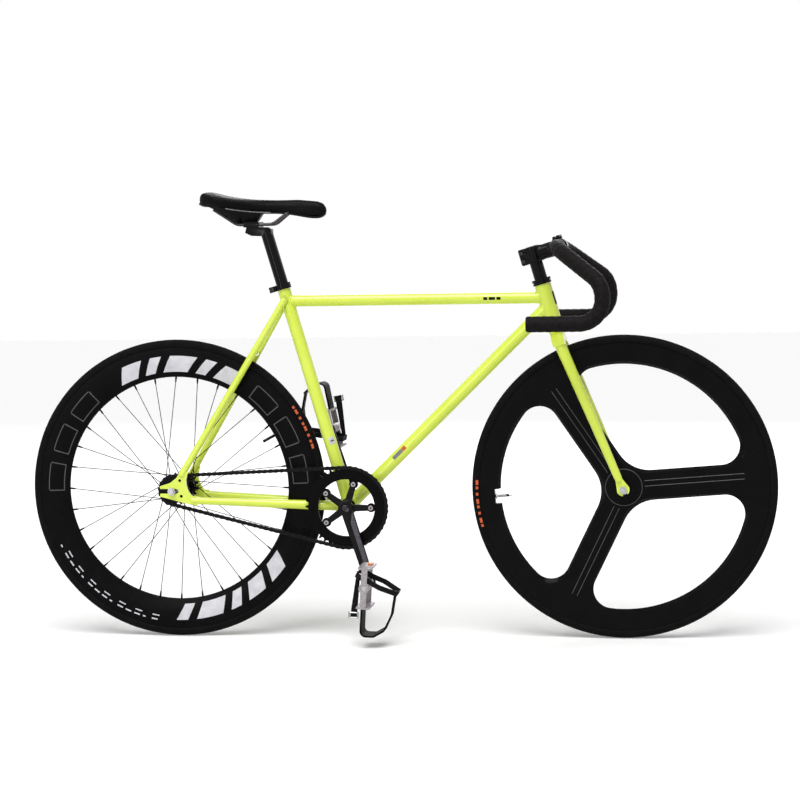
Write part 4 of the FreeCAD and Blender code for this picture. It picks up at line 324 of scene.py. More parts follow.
def dress_nodes():
    """Every solid takes its finish, smooth over its rounds and crisp at its edges."""
    for row in frame["record"]["subparts"]:
        node = row["node"]
        solid = nodes[node]
        solid.data.materials.clear()
        solid.data.materials.append(FINISHES[OWN_FINISH.get(node, row["material_slot"])])
        for polygon in solid.data.polygons:
            polygon.use_smooth = True
            polygon.material_index = 0
        add_modifier(solid, "WELD", merge_threshold=SAME_POINT)
        if node in FORGED:
            add_modifier(solid, "REMESH", mode="VOXEL", voxel_size=FORGED_VOXEL,
                         use_smooth_shade=True)
            add_modifier(solid, "SMOOTH", factor=0.5, iterations=FORGED[node])
        else:
            add_modifier(solid, "EDGE_SPLIT", split_angle=math.radians(CRISP_ANGLE))


# Mesh making

WIRE_SIDES = 8
LEAST_RADIUS = 0.01


def grid_faces(rows, columns):
    """Faces of a grid of points, row by row."""
    wide = columns + 1
    return [[k, k + 1, k + 1 + wide, k + wide]
            for row in range(rows) for k in range(row * wide, row * wide + columns)]


class Shape:
    """Points and faces, gathered into one piece."""

    def __init__(self):
        self.points = []
        self.faces = []
        self.slots = []

    def add(self, points, faces, slot=0):
        start = len(self.points)
        self.points += [Vector(point) for point in points]
        self.faces += [[start + corner for corner in face] for face in faces]
        self.slots += [slot] * len(faces)

    def skin(self, rings, slot=0, loop=False):
        """Faces between rings of as many points; loop joins the last ring to the first."""
        count = len(rings[0])
        points = [point for ring in rings for point in ring]
        faces = []
        for row in range(len(rings) if loop else len(rings) - 1):
            here = row * count
            after = (row + 1) % len(rings) * count
            for column in range(count):
                near = (column + 1) % count
                faces.append([here + column, here + near, after + near, after + column])
        if not loop:
            faces.append(list(range(count))[::-1])
            faces.append([(len(rings) - 1) * count + column for column in range(count)])
        self.add(points, faces, slot)

    def tube(self, path, radius, loop=False):
        """A round wire along a path; radius is one number or one for each point."""
        radii = radius if isinstance(radius, list) else [radius] * len(path)
        rings = []
        across = None
        for index, point in enumerate(path):
            ahead = path[(index + 1) % len(path)] if loop or index + 1 < len(path) else point
            behind = path[index - 1] if loop or index else point
            way = (ahead - behind).normalized()
            if across is None:
                across = way.orthogonal().normalized()
            across = (across - way * across.dot(way)).normalized()
            rings.append(circle(point, across, way.cross(across), radii[index], WIRE_SIDES))
        self.skin(rings, loop=loop)

    def lathe(self, start, way, profile, sides=24, slot=0):
        """A profile of (radius, height) turned about a way from a start."""
        way, across, other = square_to(way)
        rings = [circle(start + way * height, across, other, max(radius, LEAST_RADIUS), sides)
                 for radius, height in profile]
        self.skin(rings, slot)

    def plate(self, rows, columns, lifts, place):
        """A thin closed sheet; place gives the point of a row and a column at a lift."""
        over, under = ([place(row, column, lift) for row in range(rows + 1)
                        for column in range(columns + 1)] for lift in lifts)
        wide = columns + 1
        total = len(over)
        faces = grid_faces(rows, columns)
        lower = [[corner + total for corner in face[::-1]] for face in faces]
        edge = list(range(columns))
        edge += [row * wide + columns for row in range(rows)]
        edge += [rows * wide + column for column in range(columns, 0, -1)]
        edge += [row * wide for row in range(rows, 0, -1)]
        rim = [[here, here + total, after + total, after]
               for here, after in zip(edge, edge[1:] + edge[:1])]
        self.add(over + under, faces + lower + rim)

    def piece(self, name, body, finishes, sharp=35, replaced=()):
        """The object, in metres, riding on its body."""
        data = bpy.data.meshes.new(name)
        data.from_pydata([point * MM for point in self.points], [], self.faces)
        data.validate()
        for finish in finishes:
            data.materials.append(FINISHES[finish])
        data.polygons.foreach_set("material_index", self.slots[:len(data.polygons)])
        data.polygons.foreach_set("use_smooth", [True] * len(data.polygons))
        data.set_sharp_from_angle(angle=math.radians(sharp))
        thing = add_object(name, data)
        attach(thing, body)
        if replaced:
            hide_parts(*replaced)
        return thing


def arc_run(points, bends, step):
    """Points along straight runs joined by tangent arcs."""
    run = [points[0]]
    for before, corner, after, radius in zip(points, points[1:], points[2:], bends):
        inward = (before - corner).normalized()
        onward = (after - corner).normalized()
        half = (math.pi - inward.angle(onward)) / 2
        reach = radius * math.tan(half)
        centre = corner + (inward + onward).normalized() * (radius / math.cos(half))
        first = corner + inward * reach - centre
        last = corner + onward * reach - centre
        steps = max(3, int(2 * half * radius / step))
        for k in range(steps + 1):
            run.append(centre + first.slerp(last, k / steps).normalized() * radius)
    run.append(points[-1])
    filled = [run[0]]
    for start, end in zip(run, run[1:]):
        gap = (end - start).length
        if gap > 0.01:
            parts = max(1, round(gap / step))
            filled += [start + (end - start) * (k / parts) for k in range(1, parts + 1)]
    return filled


# Wheels

TYRE_ARC = 122
TYRE_STEPS = 32
TYRE_ROUND = 160
TYRE_INSET = 0.3
RIB_ANGLES = (62, 104)
RIB_REACH = 4
RIB_HEIGHT = 0.28
# Radius and half width of the tyre's feet in the rim
TYRE_FEET = [(316.4, 7.4), (308, 7.4), (308, -7.4), (316.4, -7.4)]
TYRE_MARKS = 8
TYRE_MARK_STEP = 2.5
TYRE_MARK_RADII = (319.5, 321.5, 323.5, 325)
PATCH_LIFTS = (0.2, -0.2)
PATCH_STEP = 1.2


def tyre_half_width(radius):
    """Half the tyre's width at a radius from the axle."""
    rise = radius - (TYRE_RADIUS - TYRE_HALF)
    return math.sqrt(max(0, TYRE_HALF ** 2 - rise ** 2))


def make_tyre(name, axle, body, mark_angle):
    """A slick road tyre with ribbed sidewalls and orange dashes on both sides."""
    middle = TYRE_RADIUS - TYRE_HALF
    profile = []
    for k in range(TYRE_STEPS + 1):
        angle = -TYRE_ARC + 2 * TYRE_ARC * k / TYRE_STEPS
        on_rib = any(abs(abs(angle) - rib) < RIB_REACH for rib in RIB_ANGLES)
        radius = TYRE_HALF - TYRE_INSET + (RIB_HEIGHT if on_rib else 0.0)
        turn = math.radians(angle)
        profile.append((middle + radius * math.cos(turn), radius * math.sin(turn)))
    profile += TYRE_FEET
    shape = Shape()
    shape.skin([[axle + polar(360 * k / TYRE_ROUND, radius, depth) for radius, depth in profile]
                for k in range(TYRE_ROUND)], loop=True)
    shape.piece(name + "_casing", body, ["tyre_rubber"], 40, [name])
    marks = Shape()
    for side in SIDES:
        for k in range(TYRE_MARKS):
            start = mark_angle + (k - TYRE_MARKS / 2) * TYRE_MARK_STEP
            wide = 1.1 if k % 3 else 1.9
            lay_patch(marks, axle, start, start + wide, TYRE_MARK_RADII, side,
                      lambda radius: tyre_half_width(radius) - 0.1)
    marks.piece(name + "_marks", body, ["orange_mark"])


def lay_patch(shape, axle, first, last, radii, side, half_width, slant=0.0):
    """A thin patch on a wheel's flank, between two angles, through some radii."""
    columns = max(2, int(abs(last - first) / PATCH_STEP) + 1)

    def place(row, column, lift):
        radius = radii[row]
        lean = slant * (radius - radii[0]) / (radii[-1] - radii[0])
        angle = first + (last - first) * column / columns + lean
        return axle + polar(angle, radius, side * (half_width(radius) + lift))

    shape.plate(len(radii) - 1, columns, PATCH_LIFTS, place)


# The deep rim widens from its nose to its shoulder
RIM_NOSE = 255
RIM_SHOULDER = 284.7
RIM_NOSE_HALF = 5
RIM_GROWTH = 5
# Radii that the marks on the rim follow
RIM_BAND = (262, 270, 278, RIM_SHOULDER, 291, 298)
RIM_FRAME_EDGES = ((262, 264), (296, 298))
# First angle and widths of each row of slanted bars
RIM_BARS = ((62, (9, 5, 12, 5, 9)), (-88, (5, 12, 5, 9, 9)))
RIM_BAR_GAP = 4
RIM_BAR_SLANT = -4
RIM_FRAMES = (132, 150, 168, 2, 20, 38)
FRAME_TURN = 13
FRAME_LINE = 0.5
RIM_DASHES = 14
RIM_DASH_START = 205
RIM_DASH_STEP = 4


def rim_half_width(radius):
    """Half the deep rim's width at a radius from the axle."""
    share = min(1, max(0, (radius - RIM_NOSE) / (RIM_SHOULDER - RIM_NOSE)))
    return RIM_NOSE_HALF + RIM_GROWTH * share


def make_rim_marks():
    """Plain slanted bars, frames and dashes where the photograph has lettering."""
    pale = Shape()
    faint = Shape()

    def mark(shape, start, wide, radii, slant=0.0):
        lay_patch(shape, REAR, start, start + wide, radii, side, rim_half_width, slant)

    for side in SIDES:
        for angle, widths in RIM_BARS:
            for width in widths:
                mark(pale, angle, width, RIM_BAND, RIM_BAR_SLANT)
                angle += width + RIM_BAR_GAP
        for start in RIM_FRAMES:
            for radii in RIM_FRAME_EDGES:
                mark(faint, start, FRAME_TURN, radii)
            for angle in (start, start + FRAME_TURN - FRAME_LINE):
                mark(faint, angle, FRAME_LINE, RIM_BAND)
        for k in range(RIM_DASHES):
            start = RIM_DASH_START + RIM_DASH_STEP * k
            mark(pale, start, 2.6 if k % 4 else 1.2, (300, 303))
            if k % 2:
                mark(pale, start, 3.2, (291, 293.5))
    pale.piece("rim_bars", "rear_wheel", ["pale_mark"])
    faint.piece("rim_frames", "rear_wheel", ["grey_print_and_highlight"])


SPOKES = 32
CROSSES = 3
FLANGE = 32
FLANGE_HALF = 1.75
HOLE_CIRCLE = 24
SPOKE_END = 250
SPOKE_HEAD = [(0, 0), (1.5, 0.15), (1.9, 0.6), (1.9, 0.9), (1, 1.4)]
NIPPLE = [(1.05, 0), (1.6, 0.3), (1.7, 4), (1.9, 4.4), (2.1, 5), (2.1, 11.6)]


def make_spokes():
    """Round crossed spokes with bent heads through the flanges, and their nipples."""
    shape = Shape()
    lead = 720 * CROSSES / SPOKES
    wire, thin = 1, 0.85
    for index in range(SPOKES):
        flange = 1 if index % 2 == 0 else -1
        turn = 1 if index // 2 % 2 == 0 else -1
        angle = index * 360 / SPOKES
        rest = FLANGE_HALF + wire + 0.05
        depth = flange * FLANGE + turn * (rest + (2 if turn == flange else 0))
        hole = REAR + polar(angle + turn * lead, HOLE_CIRCLE)
        hub_end = hole - ACROSS * depth
        rim_end = REAR + polar(angle, SPOKE_END)
        way = (rim_end - hub_end).normalized()
        far_side = hole - ACROSS * (flange * FLANGE - turn * (FLANGE_HALF + 1.2))
        through = (hub_end - far_side).normalized()
        elbow = [far_side, hub_end - through * 1.4,
                 hub_end - through * 0.5 + way * 0.5, hub_end + way * 1.6]
        butt = hub_end + way * 38
        shape.tube(elbow + [butt, butt + way * 8, rim_end - way * 8], [wire] * 5 + [thin] * 2)
        shape.lathe(far_side - through * 0.9, through, SPOKE_HEAD, 8)
        shape.lathe(rim_end - way * NIPPLE[-1][1], way, NIPPLE, 8)
    shape.piece("round_spokes", "rear_wheel", ["black_steel"], 50, ["rear_spokes"])


# The cast wheel's arms, and half its depth from the hub outwards
ARM_ANGLES = (4, 124, 244)
ARM_HALF = 7
HUB_HALF = 13
HUB_RADIUS = 24
ARM_BLEND = 46
# Offsets and sink of the painted highlight lines along each arm
HIGHLIGHT_OFFSETS = (11, -1)
HIGHLIGHT_SINK = 0.2


def make_arm_painted_highlights():
    """Painted highlights: fine raised grey lines on the cast wheel, two along each arm and one
    round the hub, where light catches its edges.
    """
    shape = Shape()
    drop = HUB_HALF - ARM_HALF
    for side in SIDES:
        for angle in ARM_ANGLES:
            for offset in HIGHLIGHT_OFFSETS:
                path = []
                for reach in range(46, 263, 6):
                    half = max(ARM_HALF, HUB_HALF - drop * (reach - HUB_RADIUS) / ARM_BLEND)
                    path.append(FRONT + polar(angle, reach, side * (half - HIGHLIGHT_SINK))
                                + polar(angle + 90, offset))
                shape.tube(path, 0.9)
        hub_ring = [FRONT + polar(angle, 40, side * 10.7) for angle in range(0, 360, 5)]
        shape.tube(hub_ring, 1, loop=True)
    shape.piece("arm_painted_highlights", "front_wheel", ["grey_print_and_highlight"], 60)


THREAD_STEP = 0.8
VALVE_NUT = [(3, 0), (5.6, 0), (6, 0.5), (6, 2), (5.4, 2.6), (3, 2.6)]


def make_valve(name, axle, body, angle, tip, foot, slot):
    """A threaded valve body with a nut at the rim and a cap at its tip."""
    shape = Shape()
    way = -polar(angle, 1)
    start = axle + polar(angle, foot)
    length = foot - tip
    profile = [(3.05, 0)]
    ridge = 0.0
    while ridge < length - 12:
        profile += [(3.1, ridge), (3.35, ridge + THREAD_STEP / 2), (3.1, ridge + THREAD_STEP)]
        ridge += THREAD_STEP
    profile += [(2.4, length - 11), (2.4, length - 6), (3.2, length - 5.5), (3.2, length - 1),
                (2.2, length)]
    shape.lathe(start, way, profile, 16)
    shape.lathe(start + way * 0.4, way, VALVE_NUT)
    shape.piece(name, body, [slot], 40)


# Chain

RING_TEETH = 44
RING_LINKS = 24
COG_TEETH = 16
COG_LINKS = 8
RUN_LINKS = 30
PLATE_RADIUS = 4.2
PLATE_WAIST = 3.1
# Depth of a side plate's edges past its inner face, and their size
PLATE_LEVELS = ((0, 0.95), (0.2, 1), (1, 1), (1.2, 0.95))
INNER_FACE = 1.7
OUTER_FACE = 3.0
ROLLER = [(3.6, 0), (3.85, 0.2), (3.85, 3.2), (3.6, 3.4)]
PIN = [(1.2, 0), (1.8, 0.2), (1.8, 8.8), (1.2, 9)]


def chain_points():
    """The roller centres round the ring, along the lower run, round the cog and back."""
    forward = (BRACKET - REAR).normalized()
    upward = Vector((-forward.z, 0, forward.x))

    def seats(centre, links, teeth, facing):
        radius = PITCH / (2 * math.sin(math.pi / teeth))
        turns = [math.radians((links / 2 - count) * 360 / teeth) for count in range(links + 1)]
        return [centre + spin(forward, upward, turn) * radius * facing for turn in turns]

    def between(start, end):
        return [start + (end - start) * (count / RUN_LINKS) for count in range(1, RUN_LINKS)]

    ring = seats(BRACKET, RING_LINKS, RING_TEETH, 1)
    cog = seats(REAR, COG_LINKS, COG_TEETH, -1)
    return ring + between(ring[-1], cog[0]) + cog + between(cog[-1], ring[0])


def link_outline():
    """A waisted side plate round two pins, as (along, up) pairs."""
    around = []
    for centre, first in ((PITCH, -90), (0, 90)):
        for k in range(9):
            turn = math.radians(first + 180 * k / 8)
            around.append((centre + PLATE_RADIUS * math.cos(turn), PLATE_RADIUS * math.sin(turn)))
        around.append((PITCH / 2, PLATE_WAIST if first < 0 else -PLATE_WAIST))
    return around


def make_chain():
    """Links with waisted plates, round rollers and riveted pins."""
    shape = Shape()
    points = chain_points()
    outline = link_outline()
    half = PITCH / 2
    for index, (start, end) in enumerate(zip(points, points[1:] + points[:1])):
        way = (end - start).normalized()
        rise = Vector((-way.z, 0, way.x))
        face = INNER_FACE if index % 2 == 0 else OUTER_FACE
        for side in SIDES:
            rings = []
            for level, grow in PLATE_LEVELS:
                offset = ACROSS * (CHAIN_LINE + side * (face + level))
                stretch = 1 - (1 - grow) * 0.5
                rings.append([start + way * (half + (along - half) * stretch) + rise * up * grow
                              + offset for along, up in outline])
            if side < 0:
                rings = [ring[::-1] for ring in rings]
            shape.skin(rings)
        middle = start + ACROSS * CHAIN_LINE
        shape.lathe(middle - ACROSS * INNER_FACE, ACROSS, ROLLER, 16)
        shape.lathe(middle - ACROSS * (PIN[-1][1] / 2), ACROSS, PIN, 10, 1)
    shape.piece("roller_chain", "frame", ["black_steel", "crank_alloy"], 35,
                ["chain"])


# Bar tape

BAR_REACH = 102
BAR_DROP = -160
BAR_HALF = 200
# From the bar's highest and foremost points to its middle line
BAR_TOP_RADIUS = 15.9
BAR_FRONT_RADIUS = 11.9
# The middle line of one half, from the stem to the end of the drop
BAR_LINE = ((0, 40, 0), (0, 110, 0), (BAR_REACH, BAR_HALF, -78),
            (BAR_REACH, BAR_HALF, BAR_DROP), (-56, BAR_HALF, BAR_DROP))
BAR_BENDS = (100, 50, 50)
BAR_STEP = 2
TAPE_PITCH = 17
TAPE_SIDES = 36
TAPE_RADIUS = 16.5
TAPE_LIFT = 0.55
# Height of the tape over one turn
TAPE_LAPS = ((0.0, 0.0), (0.03, 0.75), (0.10, 1.0), (0.35, 0.92), (0.65, 0.55), (0.9, 0.12))
TAPE_NEAR = 0.02 * MM
BAND_PLACE = 6
BAND_BACK = 9
TAPE_BAND = [(14.8, 0), (17, 0.2), (17.3, 1), (17.3, 15), (17, 15.8), (12.2, 16)]


def make_tape():
    """Tape wound from the drops up, each turn lapped over the last, with a band."""
    high = corners("handlebar")[1]
    bar = Vector((high.x - BAR_REACH - BAR_FRONT_RADIUS, 0, high.z - BAR_TOP_RADIUS))
    shape = Shape()
    for side in SIDES:
        line = [bar + Vector((x, side * y, z)) for x, y, z in BAR_LINE]
        path = arc_run(line, BAR_BENDS, BAR_STEP)[::-1]
        lengths = [0.0]
        for start, end in zip(path, path[1:]):
            lengths.append(lengths[-1] + (end - start).length)
        total = lengths[-1]
        frames = []
        across = ACROSS
        for index, point in enumerate(path):
            ahead = path[min(index + 1, len(path) - 1)]
            way = (ahead - path[max(index - 1, 0)]).normalized()
            across = (across - way * across.dot(way)).normalized()
            frames.append((point, across.copy(), way.cross(across)))

        def at(distance):
            distance = min(max(distance, 0), total)
            first = min(bisect_right(lengths, distance), len(lengths) - 1) - 1
            share = (distance - lengths[first]) / max(lengths[first + 1] - lengths[first], 1e-9)
            return [a.lerp(b, share) for a, b in zip(frames[first], frames[first + 1])]

        points = []
        keep = []
        for lap in range(-1, int(total / TAPE_PITCH) + 2):
            for share, height in TAPE_LAPS:
                radius = TAPE_RADIUS + TAPE_LIFT * height
                for k in range(TAPE_SIDES + 1):
                    distance = (lap + share + k / TAPE_SIDES) * TAPE_PITCH
                    point, first, second = at(distance)
                    turn = TURN * k / TAPE_SIDES * side
                    points.append(point + spin(first, second, turn) * radius)
                    keep.append(-0.5 * TAPE_PITCH < distance < total + 0.5 * TAPE_PITCH)
        rows = len(points) // (TAPE_SIDES + 1) - 1
        faces = [face[::side] for face in grid_faces(rows, TAPE_SIDES)
                 if all(keep[corner] for corner in face)]
        shape.add(points, faces)
        band_at = at(total - BAND_PLACE)[0]
        way = (at(total)[0] - band_at).normalized()
        shape.lathe(band_at - way * BAND_BACK, way, TAPE_BAND, 32, 1)
    clean_mesh(shape.piece("wound_tape", "steering", ["bar_wrap", "black_plastic"],
                           40, ["bar_tape"]))


def clean_mesh(thing):
    """Joins points that coincide and drops faces without area."""
    work = bmesh.new()
    work.from_mesh(thing.data)
    bmesh.ops.remove_doubles(work, verts=work.verts, dist=TAPE_NEAR)
    bmesh.ops.dissolve_degenerate(work, dist=TAPE_NEAR, edges=work.edges)
    loose = [vert for vert in work.verts if not vert.link_faces]
    bmesh.ops.delete(work, geom=loose, context="VERTS")
    work.to_mesh(thing.data)
    work.free()


# Saddle

# Share of the length, then shares of half width, top, crown and foot of the skirt
SADDLE = [
    (0, 0.5, 0.74, 0.08, 0.27), (0.03, 0.7, 1.02, 0.1, 0.28), (0.14, 0.98, 0.86, 0.16, 0.24),
    (0.27, 0.88, 0.675, 0.2, 0.08), (0.42, 0.52, 0.55, 0.22, -0.05),
    (0.62, 0.31, 0.495, 0.24, -0.13), (0.86, 0.25, 0.5, 0.28, -0.29),
    (0.96, 0.19, 0.43, 0.28, -0.29), (1, 0.09, 0.12, 0.1, -0.1),
]
SADDLE_TAIL = Vector((-430, 0, 951))
SADDLE_LENGTH = 284
SADDLE_HALF = 68
SADDLE_RISE = 44
SADDLE_INSET = 1.6
# Underside of the saddle: place along the bike, low and high edge, half widths there
SADDLE_HULL = [
    (-424, 967, 973, 30, 36), (-408, 960.5, 970, 40, 48), (-392, 952.7, 967, 40, 52),
    (-376, 944, 965, 38, 52), (-360, 935.3, 962, 38, 48), (-346, 926, 959, 34, 40),
    (-337, 920, 957, 16, 33), (-326, 917.5, 956, 16, 30), (-312, 919, 955, 16, 28),
    (-301, 931, 954, 16, 26), (-292, 944, 953, 14, 22),
]


def eased(table, share):
    """Values at a share of a table's length, on a smooth curve through its rows."""
    index = max(i for i, row in enumerate(table) if row[0] <= share + 1e-9)
    index = min(index, len(table) - 2)
    before, first = table[max(0, index - 1)], table[index]
    second, after = table[index + 1], table[min(len(table) - 1, index + 2)]
    span = second[0] - first[0]
    t = (share - first[0]) / span
    values = []
    for k in range(1, len(first)):
        m0 = (second[k] - before[k]) / max(second[0] - before[0], 1e-6) * span
        m1 = (after[k] - first[k]) / max(after[0] - first[0], 1e-6) * span
        values.append((2 * t ** 3 - 3 * t ** 2 + 1) * first[k] + (t ** 3 - 2 * t ** 2 + t) * m0
                      + (-2 * t ** 3 + 3 * t ** 2) * second[k] + (t ** 3 - t ** 2) * m1)
    return values


def saddle_ring(share, inset):
    """A cross-section of the cover: crowned top, rounded brow, drawn-in skirt."""
    wide, top, crown, skirt = eased(SADDLE, share)
    half = wide * SADDLE_HALF - inset
    brow = (top - crown) * SADDLE_RISE
    peak = top * SADDLE_RISE - inset
    floor = skirt * SADDLE_RISE + inset * 0.4
    ring = []
    for k in range(13):
        across = -1 + 2 * k / 12
        lift = (peak - brow) * (1 - abs(across) ** 2.4)
        ring.append((across * half, brow + lift))
    flank = [(half, brow - (brow - floor) * 0.3), (half * 0.96, brow - (brow - floor) * 0.7),
             (half * 0.9, floor)]
    ring += flank + [(0.45 * half, floor), (-0.45 * half, floor)]
    ring += [(-y, z) for y, z in reversed(flank)]
    return [SADDLE_TAIL + Vector((share * SADDLE_LENGTH, y, z)) for y, z in ring]


# Where the piping lies in a cross-section, on each side
PIPING_POINT = {-1: -3, 1: 14}
PIPING_START = 0.23
PIPING_SPAN = 0.33


def make_saddle():
    """A stuffed cover with pale piping, and the plastic hull under it."""
    shape = Shape()
    shape.skin([saddle_ring(0.006 + 0.988 * k / 44, SADDLE_INSET) for k in range(45)])
    cover = shape.piece("saddle_pad", "seat", ["saddle_skin"], 60, ["saddle_cover"])
    swell(cover)
    seam = Shape()
    for side in SIDES:
        shares = [PIPING_START + PIPING_SPAN * k / 60 for k in range(61)]
        seam.tube([saddle_ring(share, 0)[PIPING_POINT[side]] + ACROSS * (side * 0.4)
                   for share in shares], 1.1)
    seam.piece("saddle_piping", "seat", ["piping"], 60)
    hull = Shape()
    rings = []
    for x, low, high, half_low, half_high in SADDLE_HULL:
        flank = [(half_high + (half_low - half_high) * (k / 6) ** 0.8,
                  high + (low + 3 - high) * k / 6) for k in range(7)]
        flank += [(0.86 * half_low, low + 0.8), (0.5 * half_low, low)]
        outline = flank + [(-y, z) for y, z in reversed(flank)]
        rings.append([Vector((x, y, z)) for y, z in outline])
    hull.skin(rings)
    hull.piece("saddle_hull", "seat", ["black_plastic"], 50)


PAD_VOXEL = 4.2 * MM
PAD_CAP = 2.8 * MM
PAD_STEPS = 20


def swell(thing):
    """Blows a closed pad up a little as cloth, and caps how far a point moves."""
    add_modifier(thing, "REMESH", mode="VOXEL", voxel_size=PAD_VOXEL)
    apply_modifiers(thing)
    rest = [vertex.co.copy() for vertex in thing.data.vertices]
    settings = thing.modifiers.new("cloth", "CLOTH").settings
    set_all(settings, use_pressure=True, uniform_pressure_force=4, tension_stiffness=40,
            compression_stiffness=40, bending_stiffness=6)
    settings.effector_weights.gravity = 0
    for step in range(1, PAD_STEPS + 1):
        scene.frame_set(step)
    apply_modifiers(thing)
    scene.frame_set(1)
    for vertex, start in zip(thing.data.vertices, rest):
        move = vertex.co - start
        if move.length > PAD_CAP:
            vertex.co = start + move.normalized() * PAD_CAP
    thing.data.polygons.foreach_set("use_smooth", [True] * len(thing.data.polygons))
    add_modifier(thing, "SMOOTH", factor=0.5, iterations=2)
    add_modifier(thing, "SUBSURF", levels=1, render_levels=1)
    apply_modifiers(thing)


def apply_modifiers(thing):
    """Replaces the mesh by what its modifiers make of it."""
    graph = bpy.context.evaluated_depsgraph_get()
    graph.update()
    made = bpy.data.meshes.new_from_object(thing.evaluated_get(graph), depsgraph=graph)
    finishes = [slot.material for slot in thing.material_slots]
    thing.modifiers.clear()
    old = thing.data
    name = old.name
    thing.data = made
    bpy.data.meshes.remove(old)
    made.name = name
    made.materials.clear()
    for finish in finishes:
        made.materials.append(finish)


# Frame details

BEAD = 1.9
STAY_BEAD = 1.6
STAY_RADIUS = 11.3
STAY_FOOT = 18.5
# From the rear axle to the end of a chain stay
STAY_END = (43, 63, -21)
BEAD_POINTS = 56


def weld_ring(shape, foot, way, radius, axis_point, axis_way, axis_radius, bead=BEAD):
    """A rippled bead where one tube meets the round of another."""
    way, across, other = square_to(way)
    axis_way = axis_way.normalized()
    flat = way - axis_way * way.dot(axis_way)
    path = []
    for k in range(BEAD_POINTS):
        start = foot + spin(across, other, TURN * k / BEAD_POINTS) * radius - axis_point
        start_flat = start - axis_way * start.dot(axis_way)
        a = flat.dot(flat)
        b = 2 * start_flat.dot(flat)
        c = start_flat.dot(start_flat) - axis_radius ** 2
        reach = (-b + math.sqrt(max(b * b - 4 * a * c, 0))) / (2 * a)
        path.append(axis_point + start + way * reach)
    radii = [bead * (1 + 0.12 * math.sin(k * 2.4)) for k in range(BEAD_POINTS)]
    shape.tube(path, radii, loop=True)


def make_welds():
    """Weld beads at the joints of the frame, painted over."""
    shape = Shape()
    seat_join = on_line(BRACKET, TOP_TUBE)
    top_join = on_line(STEER_FOOT, TOP_TUBE)
    down_join = on_line(STEER_FOOT, DOWN_TUBE)
    head = (STEER_FOOT, UP_LINE, HEAD_RADIUS)
    shell = (BRACKET, ACROSS, SHELL_RADIUS)
    for join in ((seat_join, AHEAD, TOP_RADIUS, BRACKET, UP_LINE, SEAT_RADIUS),
                 (top_join, -AHEAD, TOP_RADIUS, *head),
                 (down_join, BRACKET - down_join, DOWN_RADIUS, *head),
                 (BRACKET, down_join - BRACKET, DOWN_RADIUS, *shell),
                 (BRACKET, UP_LINE, SEAT_RADIUS, *shell)):
        weld_ring(shape, *join)
    for side in SIDES:
        front = BRACKET + ACROSS * (side * STAY_FOOT)
        end = REAR + Vector((STAY_END[0], side * STAY_END[1], STAY_END[2]))
        weld_ring(shape, front, end - front, STAY_RADIUS, *shell, STAY_BEAD)
    shape.piece("weld_beads", "frame", ["yellow_paint"], 60)


# Start and length of each dash along the bike
TOP_DASHES = ((196, 9), (208, 14), (225, 9))
DASH_STEPS = 4
DASH_HALF_TURN = 14
DASH_RADII = (12.95, 12.5)


def make_top_tube_mark():
    """Three plain dark dashes on the flanks of the top tube."""
    shape = Shape()

    def place(row, column, radius):
        turn = math.radians(-DASH_HALF_TURN + 2 * DASH_HALF_TURN * row / DASH_STEPS)
        return Vector((start + length * column / DASH_STEPS, side * radius * math.cos(turn),
                       TOP_TUBE + radius * math.sin(turn)))

    for side in SIDES:
        for start, length in TOP_DASHES:
            shape.plate(DASH_STEPS, DASH_STEPS, DASH_RADII, place)
    shape.piece("top_tube_dashes", "frame", ["black_plastic"], 60)


# Corners of a patch: which end along the tube, and how far off its round
PATCH_CORNERS = ((0, -0.6), (1, -0.6), (1, 0.45), (0, 0.45))


def wrapped_patch(shape, foot, way, radius, along, turns, slot=0):
    """A thin patch round a tube, turned from the drive side towards the front."""
    way = way.normalized()
    near = -ACROSS
    front = way.cross(near)
    rings = []
    for k in range(9):
        turn = math.radians(turns[0] + (turns[1] - turns[0]) * k / 8)
        out = spin(near, front, turn)
        rings.append([foot + way * along[end] + out * (radius + lift)
                      for end, lift in PATCH_CORNERS])
    shape.skin(rings, slot)


def make_labels():
    """Bare plates where the photograph has a badge and two labels."""
    badge = Shape()
    wrapped_patch(badge, STEER_FOOT, UP_LINE, HEAD_RADIUS, (414, 443), (58, 122))
    badge.piece("head_plate", "frame", ["black_plastic"], 40)
    labels = Shape()
    wrapped_patch(labels, BRACKET, UP_LINE, SEAT_RADIUS, (142, 158), (0, 52))
    wrapped_patch(labels, BRACKET, UP_LINE, SEAT_RADIUS + 0.45, (148, 151), (14, 44), 1)
    down_way = on_line(STEER_FOOT, DOWN_TUBE) - BRACKET
    wrapped_patch(labels, BRACKET, down_way, DOWN_RADIUS, (146, 174), (-34, 0), 2)
    wrapped_patch(labels, BRACKET, down_way, DOWN_RADIUS, (174.5, 184), (-34, 0), 3)
    labels.piece("plain_labels", "frame",
                 ["pale_mark", "grey_print_and_highlight", "piping", "orange_mark"], 40)


# Width of a crank and how much it narrows, its face and how far that leans out
CRANK_WIDE = 27
CRANK_TAPER = 5
CRANK_FACE = 62
CRANK_LEAN = 12
# Steps, start, length and inner edge of the painted highlight strip on each crank
HIGHLIGHT_STEPS = 13
HIGHLIGHT_START = 14
HIGHLIGHT_LENGTH = 138
HIGHLIGHT_INNER = 1.2


